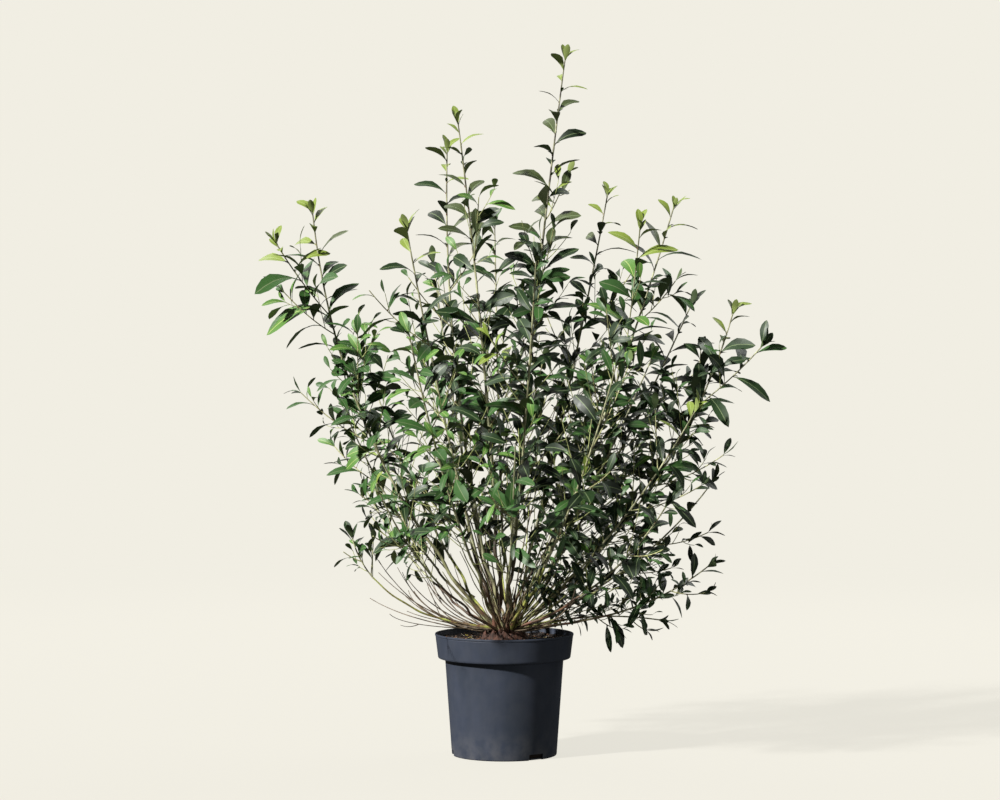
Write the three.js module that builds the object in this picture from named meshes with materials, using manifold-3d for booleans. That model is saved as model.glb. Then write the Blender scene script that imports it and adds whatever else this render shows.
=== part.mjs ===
// A pink pussy willow in summer leaf: a shrub of many stems in a round nursery pot.
// Millimetres, +Z up. The origin is the centre of the pot's flat underside, and the side
// that the photograph shows faces -Y.
import * as THREE from "three";
import { mergeVertices } from "three/addons/utils/BufferGeometryUtils.js";
import Module from "manifold-3d";

const wasm = await Module();
wasm.setup();

// The gap between two solids that touch on the real plant, and the smallest detail that a fused
// solid keeps.
const SEAT_GAP = 0.3;
const SMALLEST_DETAIL = 0.05;

// The pot
const POT_HEIGHT = 246;
const POT_BASE_RADIUS = 106;
const POT_SHOULDER_RADIUS = 119.5;
const POT_SHOULDER_HEIGHT = 196;
const COLLAR_FOOT_RADIUS = 134;
const COLLAR_FOOT_HEIGHT = 199;
const RIM_RADIUS = 140;
const POT_WALL = 2.4;
const POT_FLOOR = 3;
const POT_FOOT_ROUND = { inset: 2, rise: 3 };
const COLLAR_FOOT_BEVEL = 3;
const RIM_ROUND = { inset: 1, drop: 2 };
const POT_SIDES = 40;
const DRAIN_NOTCH = { width: 34, height: 12, depth: 16, count: 3, firstAngle: -53 };

// The potting mix
const MIX_HEIGHT = 232;
const MIX_EDGE_DROP = 4;
const MIX_LEVEL_RADIUS = 84;

// The woody root crown that the stems rise from, and how their feet stand on it
const ROOT_CROWN_HEIGHT = 26;
const ROOT_CROWN_FLARE = 10;
const ROOT_CROWN_SIDES = 18;
const FOOT_REACH = 40;
const FOOT_GAP = 3;
const FOOT_ROUNDS = 300;

// Stems: a longer one is thicker at its foot.
const STEM_BASE_RADIUS = 2.4;
const STEM_THICKENING = 0.0031;
const SHOOT_TIP_RADIUS = 1.3;
const BOUGH_SIDES = 5;
const BOUGH_STEPS = 4;
const LEADER_STEPS = 5;

// Twigs leave the lower part of a leading shoot, at an angle in radians, and get shorter up it.
const TWIG_SPACING = 160;
const TWIG_ZONE = { from: 0.03, to: 0.75 };
const TWIG_LENGTH = 175;
const TWIG_TAPER = 0.5;
const TWIG_MOST_OF_LEADER = 0.55;
const TWIG_ANGLE = 0.8;
const TWIG_RISE = 0.25;
const TWIG_RADIUS = 1.7;
const TWIG_SIDES = 3;
const TWIG_STEPS = 2;
const FORK_BEND = { out: 0.55, up: 0.45 };

// Leaves, fewer and larger than life: the length is that of an average one, and the angles to the
// shoot are in radians.
const LEAF_LENGTH = 108;
const LEAF_WIDTH = 41;
const LEAF_THICKNESS = 2.4;
const LEAF_WAIST = 0.55;
const LEAF_DROOP = 0.26;
const LEAF_SPACING = 45;
const LEAF_ANGLE = { foot: 1, tip: 0.65, spread: 0.2, leading: 0.15 };
const LEAF_SIZE = { foot: 1.08, tip: 0.74, leading: 0.5 };
const LEAFLESS_FOOT = 34;
const LEADING_LEAF_ROOT = 4;

// Both follow a spiral. What doesn't fit is turned and shortened before it is given up.
const SPIRAL_ANGLE = 2.39996;
const GROWTH_TRIES = 4;
const RETRY_TURN = 0.4 * SPIRAL_ANGLE;
const RETRY_SHORTENING = 0.12;

// Each mass keeps inside its own space, clear of other limbs and its own leaves, and off the pot.
const SPACE_MARGIN = 3;
const LIMB_CLEARANCE = 9;
const LEAF_CLEARANCE = 9;
const LOWEST_LEAF = 224;
const PATH_STEPS = 16;
const UP = new THREE.Vector3(0, 0, 1);

// The stems: name, tip x, y and z, where the bend lies as shares of the way out and up, and the
// share that is bare. The first 17 are the ones that stand out in the photograph, from the middle
// out to each side, and the others fill the front and the back.
const STEMS = [
  ["centre_leader", 122, 20, 1400, 0.35, 0.5, 0.17],
  ["centre_left_tall", -92, -70, 1268, 0.3, 0.55, 0.18],
  ["left_tall", -117, 110, 1222, 1.1, 0.5, 0.19],
  ["left_front", -190, -190, 1050, 0.55, 0.45, 0.2],
  ["left_wide", -382, -60, 1090, 0.86, 0.42, 0.25],
  ["centre_back", -20, 300, 1075, 0.6, 0.42, 0.2],
  ["right_tall", 213, 150, 1136, 0.55, 0.45, 0.2],
  ["right_upper", 336, -80, 1100, 0.58, 0.45, 0.21],
  ["right_back", 386, 190, 905, 0.56, 0.46, 0.24],
  ["right_wide", 457, -40, 890, 0.76, 0.42, 0.27],
  ["right_inner", 376, -150, 700, 0.6, 0.42, 0.3],
  ["right_thicket", 300, 60, 800, 0.55, 0.45, 0.26],
  ["right_middle", 425, 60, 550, 0.64, 0.34, 0.34],
  ["right_low", 408, -90, 390, 0.62, 0.1, 0.4],
  ["right_trailing", 318, 40, 268, 0.5, 3.4, 0.5],
  ["left_low", -305, -40, 440, 0.84, 0.16, 0.7],
  ["left_middle", -318, 80, 676, 0.66, 0.42, 0.3],
  ["front_tall", 60, -320, 990, 0.6, 0.42, 0.24],
  ["front_left", -180, -390, 850, 0.62, 0.42, 0.28],
  ["front_right", 210, -390, 790, 0.62, 0.42, 0.28],
  ["front_low", 20, -430, 640, 0.62, 0.36, 0.36],
  ["back_tall", -150, 340, 1000, 0.6, 0.42, 0.24],
  ["back_left", -290, 370, 780, 0.64, 0.42, 0.28],
  ["back_right", 235, 410, 825, 0.62, 0.42, 0.28],
  ["back_low", -30, 440, 600, 0.64, 0.36, 0.36],
  ["left_back_low", -290, 270, 520, 0.64, 0.34, 0.36],
  ["right_front_low", 310, -300, 520, 0.66, 0.34, 0.36],
  ["left_front_low", -245, -320, 560, 0.66, 0.36, 0.38],
];

// Side shoots that stand out in the photograph: stem, share of the stem where it forks, and tip.
const FORKS = [
  ["left_wide", 0.78, -450, -100, 1026],
  ["right_upper", 0.66, 266, -150, 1056],
  ["right_wide", 0.74, 510, -110, 826],
];

const MATERIALS = {
  pot: new THREE.MeshStandardMaterial({ color: 0x3a3d45, roughness: 0.55 }),
  mix: new THREE.MeshStandardMaterial({ color: 0x2b201a, roughness: 0.95 }),
  bark: new THREE.MeshStandardMaterial({ color: 0x5a4a36, roughness: 0.8 }),
  leaf: new THREE.MeshStandardMaterial({ color: 0x2f5a30, roughness: 0.5 }),
};

// Seeded random numbers from 0 to 1, the same on every run.
function randomFrom(seed) {
  const modulus = 2147483647;
  let state = (seed * 7919 + 104729) % modulus;
  return () => {
    state = (state * 48271) % modulus;
    return state / modulus;
  };
}

// A closed solid from a three.js geometry.
function solidOf(geometry) {
  const bare = geometry.index ? geometry.toNonIndexed() : geometry.clone();
  bare.deleteAttribute("normal");
  bare.deleteAttribute("uv");
  const merged = mergeVertices(bare, 1e-4);
  return new wasm.Manifold(
    new wasm.Mesh({
      numProp: 3,
      vertProperties: merged.attributes.position.array,
      triVerts: new Uint32Array(merged.index.array),
    }),
  );
}

// A three.js geometry from a solid's largest body, which drops scraps and sealed hollows.
function geometryOf(solid) {
  const bodies = solid.decompose();
  const largest = bodies.reduce((best, body) => (body.volume() > best.volume() ? body : best));
  const mesh = largest.simplify(SMALLEST_DETAIL).getMesh();
  const geometry = new THREE.BufferGeometry();
  geometry.setAttribute("position", new THREE.BufferAttribute(mesh.vertProperties, 3));
  geometry.setIndex(new THREE.BufferAttribute(mesh.triVerts, 1));
  geometry.computeVertexNormals();
  return geometry;
}

function namedMesh(name, geometry, material) {
  const mesh = new THREE.Mesh(geometry, material);
  mesh.name = name;
  return mesh;
}

// A stretch of another curve, from one share of it to another.
class Stretch extends THREE.Curve {
  constructor(whole, from, to) {
    super();
    Object.assign(this, { whole, from, to });
  }

  getPoint(t, target = new THREE.Vector3()) {
    return this.whole.getPoint(THREE.MathUtils.lerp(this.from, this.to, t), target);
  }
}

// A tapering limb along a curve: its rings stand square to the curve, and its spine is the row of
// their centres.
class Limb {
  constructor(curve, steps, footRadius, tipRadius) {
    Object.assign(this, { curve, steps, footRadius, tipRadius });
    this.spine = curve.getSpacedPoints(steps);
    this.length = curve.getLength();
  }

  pointAt(share) {
    const place = share * this.steps;
    const ring = Math.min(Math.floor(place), this.steps - 1);
    return this.spine[ring].clone().lerp(this.spine[ring + 1], place - ring);
  }

  // A cylinder bent along the spine. A level foot stands flat on what carries it.
  geometry(sides, levelFoot = false) {
    const geometry = new THREE.CylinderGeometry(1, 1, 1, sides, this.steps);
    const frames = this.curve.computeFrenetFrames(this.steps);
    if (levelFoot) {
      frames.binormals[0].setZ(0).normalize();
      frames.normals[0].crossVectors(frames.binormals[0], UP);
    }
    const position = geometry.attributes.position;
    for (let i = 0; i < position.count; i++) {
      const ring = Math.round((position.getY(i) + 0.5) * this.steps);
      const radius = THREE.MathUtils.lerp(this.footRadius, this.tipRadius, ring / this.steps);
      const point = this.spine[ring]
        .clone()
        .addScaledVector(frames.binormals[ring], position.getX(i) * radius)
        .addScaledVector(frames.normals[ring], position.getZ(i) * radius);
      position.setXYZ(i, point.x, point.y, point.z);
    }
    return geometry;
  }
}

// The corners of a leaf that grows along one direction, with its upper side to another: its tip
// droops, and its keel is the midrib under its widest place.
function leafCorners(foot, along, face, length) {
  const side = new THREE.Vector3().crossVectors(along, face);
  const middle = foot.clone().addScaledVector(along, length * LEAF_WAIST);
  const tip = foot.clone().addScaledVector(along, length);
  tip.addScaledVector(face, -length * LEAF_DROOP);
  const halfWidth = (LEAF_WIDTH * length) / LEAF_LENGTH / 2;
  return {
    foot,
    tip,
    left: middle.clone().addScaledVector(side, -halfWidth),
    right: middle.clone().addScaledVector(side, halfWidth),
    keel: middle.clone().addScaledVector(face, -LEAF_THICKNESS),
  };
}

// A leaf: the coarsest sphere, with its poles drawn out to the leaf's foot and tip, and the three
// corners of its equator to the leaf's sides and keel.
function leafGeometry({ foot, tip, left, right, keel }) {
  const geometry = new THREE.SphereGeometry(1, 3, 2);
  const position = geometry.attributes.position;
  for (let i = 0; i < position.count; i++) {
    const [y, z] = [position.getY(i), position.getZ(i)];
    let corner = keel;
    if (Math.abs(z) > 0.5) corner = z > 0 ? left : right;
    if (Math.abs(y) > 0.5) corner = y > 0 ? tip : foot;
    position.setXYZ(i, corner.x, corner.y, corner.z);
  }
  return geometry;
}

// A unit vector square to an axis, turned round it by an angle from the uphill side.
function squareTo(axis, angle) {
  const up = Math.abs(axis.z) > 0.95 ? new THREE.Vector3(0, 1, 0) : new THREE.Vector3(0, 0, 1);
  return up.projectOnPlane(axis).normalize().applyAxisAngle(axis, angle);
}

// The feet of the stems on the root crown: each is set off towards its tip, and they shoulder each
// other apart until none touch.
function stemFeet(stems) {
  const feet = stems.map(({ tip, radius }) => {
    const out = new THREE.Vector2(tip.x, tip.y);
    const lean = Math.atan2(out.length(), tip.z - MIX_HEIGHT);
    return { spot: out.setLength(Math.min(1, lean) * FOOT_REACH), radius };
  });
  for (let round = 0; round < FOOT_ROUNDS; round++) {
    feet.forEach((a, i) =>
      feet.slice(i + 1).forEach((b) => {
        const apart = new THREE.Vector2().subVectors(b.spot, a.spot);
        const short = a.radius + b.radius + FOOT_GAP - apart.length();
        if (short <= 0) return;
        apart.setLength(short / 2);
        a.spot.sub(apart);
        b.spot.add(apart);
      }),
    );
  }
  return feet.map(({ spot }) => spot);
}

function bentCurve(start, tip, out, up) {
  const bend = new THREE.Vector3(
    THREE.MathUtils.lerp(start.x, tip.x, out),
    THREE.MathUtils.lerp(start.y, tip.y, out),
    THREE.MathUtils.lerp(start.z, tip.z, up),
  );
  return new THREE.QuadraticBezierCurve3(start, bend, tip);
}

// Every stem with its curve from foot to tip, its forks and its radius along the curve.
function layOutStems() {
  const stems = STEMS.map(([name, x, y, z, out, up, bare]) => {
    const tip = new THREE.Vector3(x, y, z);
    const reach = tip.distanceTo(new THREE.Vector3(0, 0, MIX_HEIGHT));
    return { name, tip, out, up, bare, radius: STEM_BASE_RADIUS + reach * STEM_THICKENING };
  });
  const footHeight = MIX_HEIGHT + ROOT_CROWN_HEIGHT + 2 * SEAT_GAP;
  stemFeet(stems).forEach((spot, i) => {
    const stem = stems[i];
    stem.foot = new THREE.Vector3(spot.x, spot.y, footHeight);
    stem.curve = bentCurve(stem.foot, stem.tip, stem.out, stem.up);
    stem.forks = FORKS.filter(([parent]) => parent === stem.name).map(([, share, x, y, z]) =>
      bentCurve(stem.curve.getPoint(share), new THREE.Vector3(x, y, z), ...Object.values(FORK_BEND)),
    );
  });
  return stems;
}

// The distance from a point to the nearest of some paths, each a row of points.
function distanceTo(paths, point) {
  const segment = new THREE.Line3();
  const closest = new THREE.Vector3();
  let least = Infinity;
  paths.forEach((path) => {
    for (let i = 1; i < path.length; i++) {
      segment.set(path[i - 1], path[i]).closestPointToPoint(point, true, closest);
      least = Math.min(least, closest.distanceToSquared(point));
    }
  });
  return Math.sqrt(least);
}

// A stem's mass keeps to the space that is nearer to its own shoots than to any other stem.
function spaceOf(stem, stems) {
  const pathsOf = (one, from) => [
    new Stretch(one.curve, from, 1).getPoints(PATH_STEPS),
    ...one.forks.map((fork) => fork.getPoints(PATH_STEPS)),
  ];
  const own = pathsOf(stem, stem.bare);
  const bough = [new Stretch(stem.curve, 0, stem.bare).getPoints(PATH_STEPS)];
  const others = stems.filter((one) => one !== stem).flatMap((one) => pathsOf(one, 0));
  return (point) => {
    const away = distanceTo(others, point);
    return (
      away > LIMB_CLEARANCE &&
      away > distanceTo(own, point) + SPACE_MARGIN &&
      distanceTo(bough, point) > LIMB_CLEARANCE &&
      point.z > LOWEST_LEAF &&
      clearOfPot(point)
    );
  };
}

function clearOfPot(point) {
  const radius = Math.hypot(point.x, point.y);
  return point.z > POT_HEIGHT + LIMB_CLEARANCE || radius > RIM_RADIUS + LIMB_CLEARANCE;
}

// A direction at an angle to an axis, on the side that a turn round the axis gives.
function slanted(axis, turn, angle) {
  const direction = axis.clone().multiplyScalar(Math.cos(angle));
  return direction.addScaledVector(squareTo(axis, turn), Math.sin(angle));
}

// The twigs of a mass, by a seeded rule: they leave the leading shoot in a spiral and bend up.
function growTwigs(leader, inSpace, random) {
  const count = Math.max(2, Math.round(leader.length / TWIG_SPACING));
  const longest = Math.min(TWIG_LENGTH, TWIG_MOST_OF_LEADER * leader.length);
  const twigs = [];
  for (let i = 0; i < count; i++) {
    const share = THREE.MathUtils.lerp(TWIG_ZONE.from, TWIG_ZONE.to, (i + 0.6 * random()) / count);
    const turn = i * SPIRAL_ANGLE + random();
    const reach = longest * (1 - TWIG_TAPER * share) * (0.8 + 0.4 * random());
    const axis = leader.curve.getTangentAt(share);
    const start = leader.pointAt(share);
    for (let attempt = 0; attempt < GROWTH_TRIES; attempt++) {
      const heading = slanted(axis, turn + attempt * RETRY_TURN, TWIG_ANGLE);
      const length = reach * (1 - RETRY_SHORTENING * attempt);
      const bend = start.clone().addScaledVector(heading, length / 2);
      const tip = start.clone().addScaledVector(heading, length);
      tip.z += length * TWIG_RISE;
      const twig = new THREE.QuadraticBezierCurve3(start, bend, tip);
      if (!twig.getPoints(4).slice(2).every(inSpace)) continue;
      twigs.push(new Limb(twig, TWIG_STEPS, TWIG_RADIUS, SHOOT_TIP_RADIUS));
      break;
    }
  }
  return twigs;
}

// The leaves along one shoot, in a spiral, and one at its tip. A leaf that would leave the space
// or cross what the mass already has is turned and shortened, and skipped if it still does.
function growLeaves(shoot, inSpace, taken, random) {
  const { length } = shoot;
  const first = LEAFLESS_FOOT / length;
  const last = 1 - LEADING_LEAF_ROOT / length;
  const count = Math.max(2, Math.round(((last - first) * length) / LEAF_SPACING));
  const leaves = [];
  for (let i = 0; i <= count; i++) {
    const leading = i === count;
    const share = THREE.MathUtils.lerp(first, last, i / count);
    const point = shoot.pointAt(share);
    const axis = shoot.curve.getTangentAt(share);
    const slant = THREE.MathUtils.lerp(LEAF_ANGLE.foot, LEAF_ANGLE.tip, share);
    const angle = leading ? LEAF_ANGLE.leading : slant + LEAF_ANGLE.spread * random();
    const grown = THREE.MathUtils.lerp(LEAF_SIZE.foot, LEAF_SIZE.tip, share * share);
    const size = LEAF_LENGTH * (leading ? LEAF_SIZE.leading : grown) * (0.85 + 0.3 * random());
    const turn = i * SPIRAL_ANGLE + 2 * Math.PI * random();
    for (let attempt = 0; attempt < GROWTH_TRIES; attempt++) {
      const along = slanted(axis, turn + attempt * RETRY_TURN, angle);
      const face = axis.clone().projectOnPlane(along).normalize();
      const leaf = leafCorners(point, along, face, size * (1 - RETRY_SHORTENING * attempt));
      const { tip, left, right, keel } = leaf;
      const reach = [tip, keel.clone().lerp(tip, 0.5), left, right];
      if (!reach.every(inSpace)) continue;
      if (reach.some((spot) => distanceTo(taken, spot) < LEAF_CLEARANCE)) continue;
      taken.push([point, keel, tip]);
      leaves.push(leaf);
      break;
    }
  }
  return leaves;
}

function boughTipRadius(stem) {
  return THREE.MathUtils.lerp(stem.radius, SHOOT_TIP_RADIUS, stem.bare);
}

// One mass of foliage: the leading shoot that grows on from the bough, its forks and twigs, and
// the leaves, fused into one solid.
function foliageMesh(stem, stems, index) {
  const random = randomFrom(index + 1);
  const inSpace = spaceOf(stem, stems);
  const start = stem.bare + SEAT_GAP / stem.curve.getLength();
  const leaderCurve = new Stretch(stem.curve, start, 1);
  const leader = new Limb(leaderCurve, LEADER_STEPS, boughTipRadius(stem), SHOOT_TIP_RADIUS);
  const forks = stem.forks.map((fork) => new Limb(fork, TWIG_STEPS, TWIG_RADIUS, SHOOT_TIP_RADIUS));
  const twigs = growTwigs(leader, inSpace, random);
  const shoots = [leader, ...forks, ...twigs];
  const taken = shoots.map((shoot) => [...shoot.spine]);
  const leaves = shoots.flatMap((shoot) => growLeaves(shoot, inSpace, taken, random));
  const pieces = [
    ...shoots.map((shoot) => shoot.geometry(TWIG_SIDES)),
    ...leaves.map((leaf) => leafGeometry(leaf)),
  ];
  const solid = pieces.map(solidOf).reduce((whole, piece) => whole.add(piece));
  return namedMesh(`foliage_${stem.name}`, geometryOf(solid), MATERIALS.leaf);
}

function boughMesh(stem) {
  const curve = new Stretch(stem.curve, 0, stem.bare);
  const bough = new Limb(curve, BOUGH_STEPS, stem.radius, boughTipRadius(stem));
  return namedMesh(`stem_${stem.name}`, bough.geometry(BOUGH_SIDES, true), MATERIALS.bark);
}

// A solid of revolution about Z from a profile of [radius, height] points.
function turnedSolid(profile, sides) {
  const points = profile.map(([radius, height]) => new THREE.Vector2(radius, height));
  return solidOf(new THREE.LatheGeometry(points, sides).rotateX(Math.PI / 2));
}

// The inside of the pot, from the floor to the rim, taken in by a clearance.
function potInside(clearance) {
  const inset = POT_WALL + clearance;
  return [
    [POT_BASE_RADIUS - inset, POT_FLOOR + clearance],
    [POT_SHOULDER_RADIUS - inset, POT_SHOULDER_HEIGHT + POT_WALL],
    [COLLAR_FOOT_RADIUS - inset, COLLAR_FOOT_HEIGHT + POT_WALL],
  ];
}

function potMesh() {
  let pot = turnedSolid(
    [
      [0, 0],
      [POT_BASE_RADIUS - POT_FOOT_ROUND.inset, 0],
      [POT_BASE_RADIUS, POT_FOOT_ROUND.rise],
      [POT_SHOULDER_RADIUS, POT_SHOULDER_HEIGHT],
      [COLLAR_FOOT_RADIUS - COLLAR_FOOT_BEVEL, POT_SHOULDER_HEIGHT],
      [COLLAR_FOOT_RADIUS, COLLAR_FOOT_HEIGHT],
      [RIM_RADIUS, POT_HEIGHT - RIM_ROUND.drop],
      [RIM_RADIUS - RIM_ROUND.inset, POT_HEIGHT],
      [RIM_RADIUS - POT_WALL, POT_HEIGHT],
      ...potInside(0).reverse(),
      [0, POT_FLOOR],
    ],
    POT_SIDES,
  );
  for (let i = 0; i < DRAIN_NOTCH.count; i++) {
    const turn = THREE.MathUtils.degToRad(DRAIN_NOTCH.firstAngle + (360 * i) / DRAIN_NOTCH.count);
    const notch = new THREE.BoxGeometry(
      DRAIN_NOTCH.depth,
      DRAIN_NOTCH.width,
      2 * DRAIN_NOTCH.height,
    );
    notch.translate(POT_BASE_RADIUS, 0, 0).rotateZ(turn);
    pot = pot.subtract(solidOf(notch));
  }
  return namedMesh("pot", geometryOf(pot), MATERIALS.pot);
}

function mixMesh() {
  const [floorEdge, shoulder, ledge] = potInside(SEAT_GAP);
  const edgeHeight = MIX_HEIGHT - MIX_EDGE_DROP;
  const wallShare = (edgeHeight - ledge[1]) / (POT_HEIGHT - ledge[1]);
  const wallRadius = THREE.MathUtils.lerp(ledge[0], RIM_RADIUS - POT_WALL - SEAT_GAP, wallShare);
  const mix = turnedSolid(
    [
      [0, floorEdge[1]],
      floorEdge,
      [shoulder[0], shoulder[1] + SEAT_GAP],
      [ledge[0], ledge[1] + SEAT_GAP],
      [wallRadius, edgeHeight],
      [MIX_LEVEL_RADIUS, MIX_HEIGHT],
      [0, MIX_HEIGHT],
    ],
    POT_SIDES,
  );
  return namedMesh("potting_mix", geometryOf(mix), MATERIALS.mix);
}

// The root crown: as wide as the feet of the stems need, and flared to its flat cut at the mix.
function rootCrownMesh(stems) {
  const reach = Math.max(...stems.map(({ foot, radius }) => Math.hypot(foot.x, foot.y) + radius));
  const base = MIX_HEIGHT + SEAT_GAP;
  const rootCrown = turnedSolid(
    [
      [0, base],
      [reach + ROOT_CROWN_FLARE, base],
      [reach + 0.4 * ROOT_CROWN_FLARE, base + 0.35 * ROOT_CROWN_HEIGHT],
      [reach + 0.1 * ROOT_CROWN_FLARE, base + 0.8 * ROOT_CROWN_HEIGHT],
      [reach - 1, base + ROOT_CROWN_HEIGHT],
      [0, base + ROOT_CROWN_HEIGHT],
    ],
    ROOT_CROWN_SIDES,
  );
  return namedMesh("root_crown", geometryOf(rootCrown), MATERIALS.bark);
}

const shrub = new THREE.Group();
const stems = layOutStems();
shrub.add(potMesh(), mixMesh(), rootCrownMesh(stems));
stems.forEach((stem, index) => shrub.add(boughMesh(stem), foliageMesh(stem, stems, index)));

export default shrub;
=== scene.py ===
"""A potted pink pussy willow in summer leaf: its looks, around the packed frame.

The plant grows by the rule of the part's own source, written again here with the same stems,
curves and seeded draws, and is carried on within the same reach to finer twigs, leaves of their
real size and buds. Growth is worked out in millimetres, and meshes are made in metres.
"""

import logging
import math
from collections.abc import Sequence
from dataclasses import dataclass, field, replace
from enum import Enum
from functools import reduce

import bpy
import numpy as np
from bpy.types import Material, Mesh, NodeSocket, NodeTree, Object
from mathutils import Matrix, Vector, noise


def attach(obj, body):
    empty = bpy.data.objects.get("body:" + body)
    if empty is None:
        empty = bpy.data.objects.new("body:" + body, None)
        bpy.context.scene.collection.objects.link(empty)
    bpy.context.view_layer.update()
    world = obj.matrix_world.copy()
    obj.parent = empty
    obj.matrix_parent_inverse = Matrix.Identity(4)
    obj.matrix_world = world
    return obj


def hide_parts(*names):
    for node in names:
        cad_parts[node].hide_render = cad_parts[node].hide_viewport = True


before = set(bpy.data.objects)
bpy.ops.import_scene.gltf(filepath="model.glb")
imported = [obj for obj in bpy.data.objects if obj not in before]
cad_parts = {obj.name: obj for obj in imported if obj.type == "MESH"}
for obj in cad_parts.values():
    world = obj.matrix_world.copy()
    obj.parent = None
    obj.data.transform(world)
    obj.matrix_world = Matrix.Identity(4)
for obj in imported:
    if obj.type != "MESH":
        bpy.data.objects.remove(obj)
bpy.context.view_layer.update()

log = logging.getLogger("pussy_willow")

Array = np.ndarray
Range = tuple[float, float]
Ranges = tuple[Range, ...]
Triple = tuple[float, float, float]
Colour = tuple[float, float, float, float]
Inputs = dict[str | int, object]

MM = 0.001
UP = np.array((0.0, 0.0, 1.0))
BODY = "root"

# The pot, the mix and the root crown, as in the part's source
POT_HEIGHT = 246.0
RIM_RADIUS = 140.0
MIX_HEIGHT = 232.0
MIX_WALL_RADIUS = 135.2
ROOT_CROWN_HEIGHT = 26.0
SEAT_GAP = 0.3
FOOT_REACH = 40.0
FOOT_GAP = 3.0
FOOT_ROUNDS = 300

# Limbs and growth, as in the part's source
STEM_BASE_RADIUS = 2.4
STEM_THICKENING = 0.0031
SHOOT_TIP_RADIUS = 1.3
TWIG_RADIUS = 1.7
SPIRAL_ANGLE = 2.39996
GROWTH_TRIES = 4
RETRY_TURN = 0.4 * SPIRAL_ANGLE
RETRY_SHORTENING = 0.12
SPACE_MARGIN = 3.0
LIMB_CLEARANCE = 9.0
LOWEST_LEAF = 224.0
CURVE_STEPS = 64
PATH_STRIDE = 4
HEADING_STEP = 0.01
NEARLY_UPRIGHT = 0.95

# How thick a limb is drawn, as a share of the solid that stands in for it
SLENDERNESS = 0.7

# How far a finer twig, and its leaves, may reach into a neighbour's space, and how near to a limb
SHARED_SPACE = -32.0
SHARED_BY_LEAVES = 2 * SHARED_SPACE
ANYWHERE = -1000.0
FINE_CLEARANCE = 4.0

# How far the crown spreads, which tells an outward shoot
SPREAD = 330.0

# Where the light comes from, to which the leaves turn a little
LIGHTWARD = np.array((-0.5, -0.8, 0.35))

# The stems whose leading shoots bear more, or fewer, spurs than the rule says
LUSHNESS = {
    "right_wide": 2.7,
    "right_back": 2.7,
    "right_upper": 1.7,
    "right_tall": 1.4,
    "right_inner": 0.8,
    "right_middle": 0.5,
    "left_wide": 1.4,
    "left_middle": 0.9,
    "centre_left_tall": 0.7,
    "left_tall": 0.6,
}

# How many spurs a fork bears, as a share of what the rule says
FORK_LUSHNESS = 0.45

# The stems: name, tip, where the bend lies as shares of the way out and up, and the bare share
STEMS = [
    ("centre_leader", (122, 20, 1400), 0.35, 0.5, 0.17),
    ("centre_left_tall", (-92, -70, 1268), 0.3, 0.55, 0.18),
    ("left_tall", (-117, 110, 1222), 1.1, 0.5, 0.19),
    ("left_front", (-190, -190, 1050), 0.55, 0.45, 0.2),
    ("left_wide", (-382, -60, 1090), 0.86, 0.42, 0.25),
    ("centre_back", (-20, 300, 1075), 0.6, 0.42, 0.2),
    ("right_tall", (213, 150, 1136), 0.55, 0.45, 0.2),
    ("right_upper", (336, -80, 1100), 0.58, 0.45, 0.21),
    ("right_back", (386, 190, 905), 0.56, 0.46, 0.24),
    ("right_wide", (457, -40, 890), 0.76, 0.42, 0.27),
    ("right_inner", (376, -150, 700), 0.6, 0.42, 0.3),
    ("right_thicket", (300, 60, 800), 0.55, 0.45, 0.26),
    ("right_middle", (425, 60, 550), 0.64, 0.34, 0.34),
    ("right_low", (408, -90, 390), 0.62, 0.1, 0.4),
    ("right_trailing", (318, 40, 268), 0.5, 3.4, 0.5),
    ("left_low", (-305, -40, 440), 0.84, 0.16, 0.7),
    ("left_middle", (-318, 80, 676), 0.66, 0.42, 0.3),
    ("front_tall", (60, -320, 990), 0.6, 0.42, 0.24),
    ("front_left", (-180, -390, 850), 0.62, 0.42, 0.28),
    ("front_right", (210, -390, 790), 0.62, 0.42, 0.28),
    ("front_low", (20, -430, 640), 0.62, 0.36, 0.36),
    ("back_tall", (-150, 340, 1000), 0.6, 0.42, 0.24),
    ("back_left", (-290, 370, 780), 0.64, 0.42, 0.28),
    ("back_right", (235, 410, 825), 0.62, 0.42, 0.28),
    ("back_low", (-30, 440, 600), 0.64, 0.36, 0.36),
    ("left_back_low", (-290, 270, 520), 0.64, 0.34, 0.36),
    ("right_front_low", (310, -300, 520), 0.66, 0.34, 0.36),
    ("left_front_low", (-245, -320, 560), 0.66, 0.36, 0.38),
]

# The forks: the stem that bears it, the share of its length, and the fork's tip; then their bend
FORKS = [
    ("left_wide", 0.78, (-450, -100, 1026)),
    ("right_upper", 0.66, (266, -150, 1056)),
    ("right_wide", 0.74, (510, -110, 826)),
]
FORK_BEND = (0.55, 0.45)


class Rank(Enum):
    """Where a shoot stands in the order of branching."""

    LEADER = "leader"
    TWIG = "twig"
    SPUR = "spur"
    SUCKER = "sucker"


class Tint(Enum):
    """The leaf colours that are dealt out by spray, from the shaded heart to the shoot tips. Deep, dark,
    green and fresh are painted shade and light, set by how lit a spray's place is and stepped by a leaf's age
    along its shoot; young is the young flush, partly painted light too.
    """

    DEEP = "deep"
    DARK = "dark"
    GREEN = "green"
    FRESH = "fresh"
    YOUNG = "young"
    OLIVE = "olive"


class Bark(Enum):
    """The colours of the stems' bark."""

    BROWN = "brown"
    OLIVE = "olive"
    LIME = "lime"


class LeafPart(Enum):
    """The parts of a leaf that have a colour of their own, by their number on its faces."""

    UPPER_SIDE = 0
    UNDERSIDE = 1
    MIDRIB = 2


def linear(red: int, green: int, blue: int) -> Colour:
    """A screen colour, each part from 0 to 255, as Blender's linear one with an alpha of 1."""
    shares = [
        shade / 255 / 12.92 if shade <= 10 else ((shade / 255 + 0.055) / 1.055) ** 2.4
        for shade in (red, green, blue)
    ]
    return (*shares, 1.0)


def mix(a: float, b: float, share: float) -> float:
    """The value a share of the way from a to b."""
    return a + (b - a) * share


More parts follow.
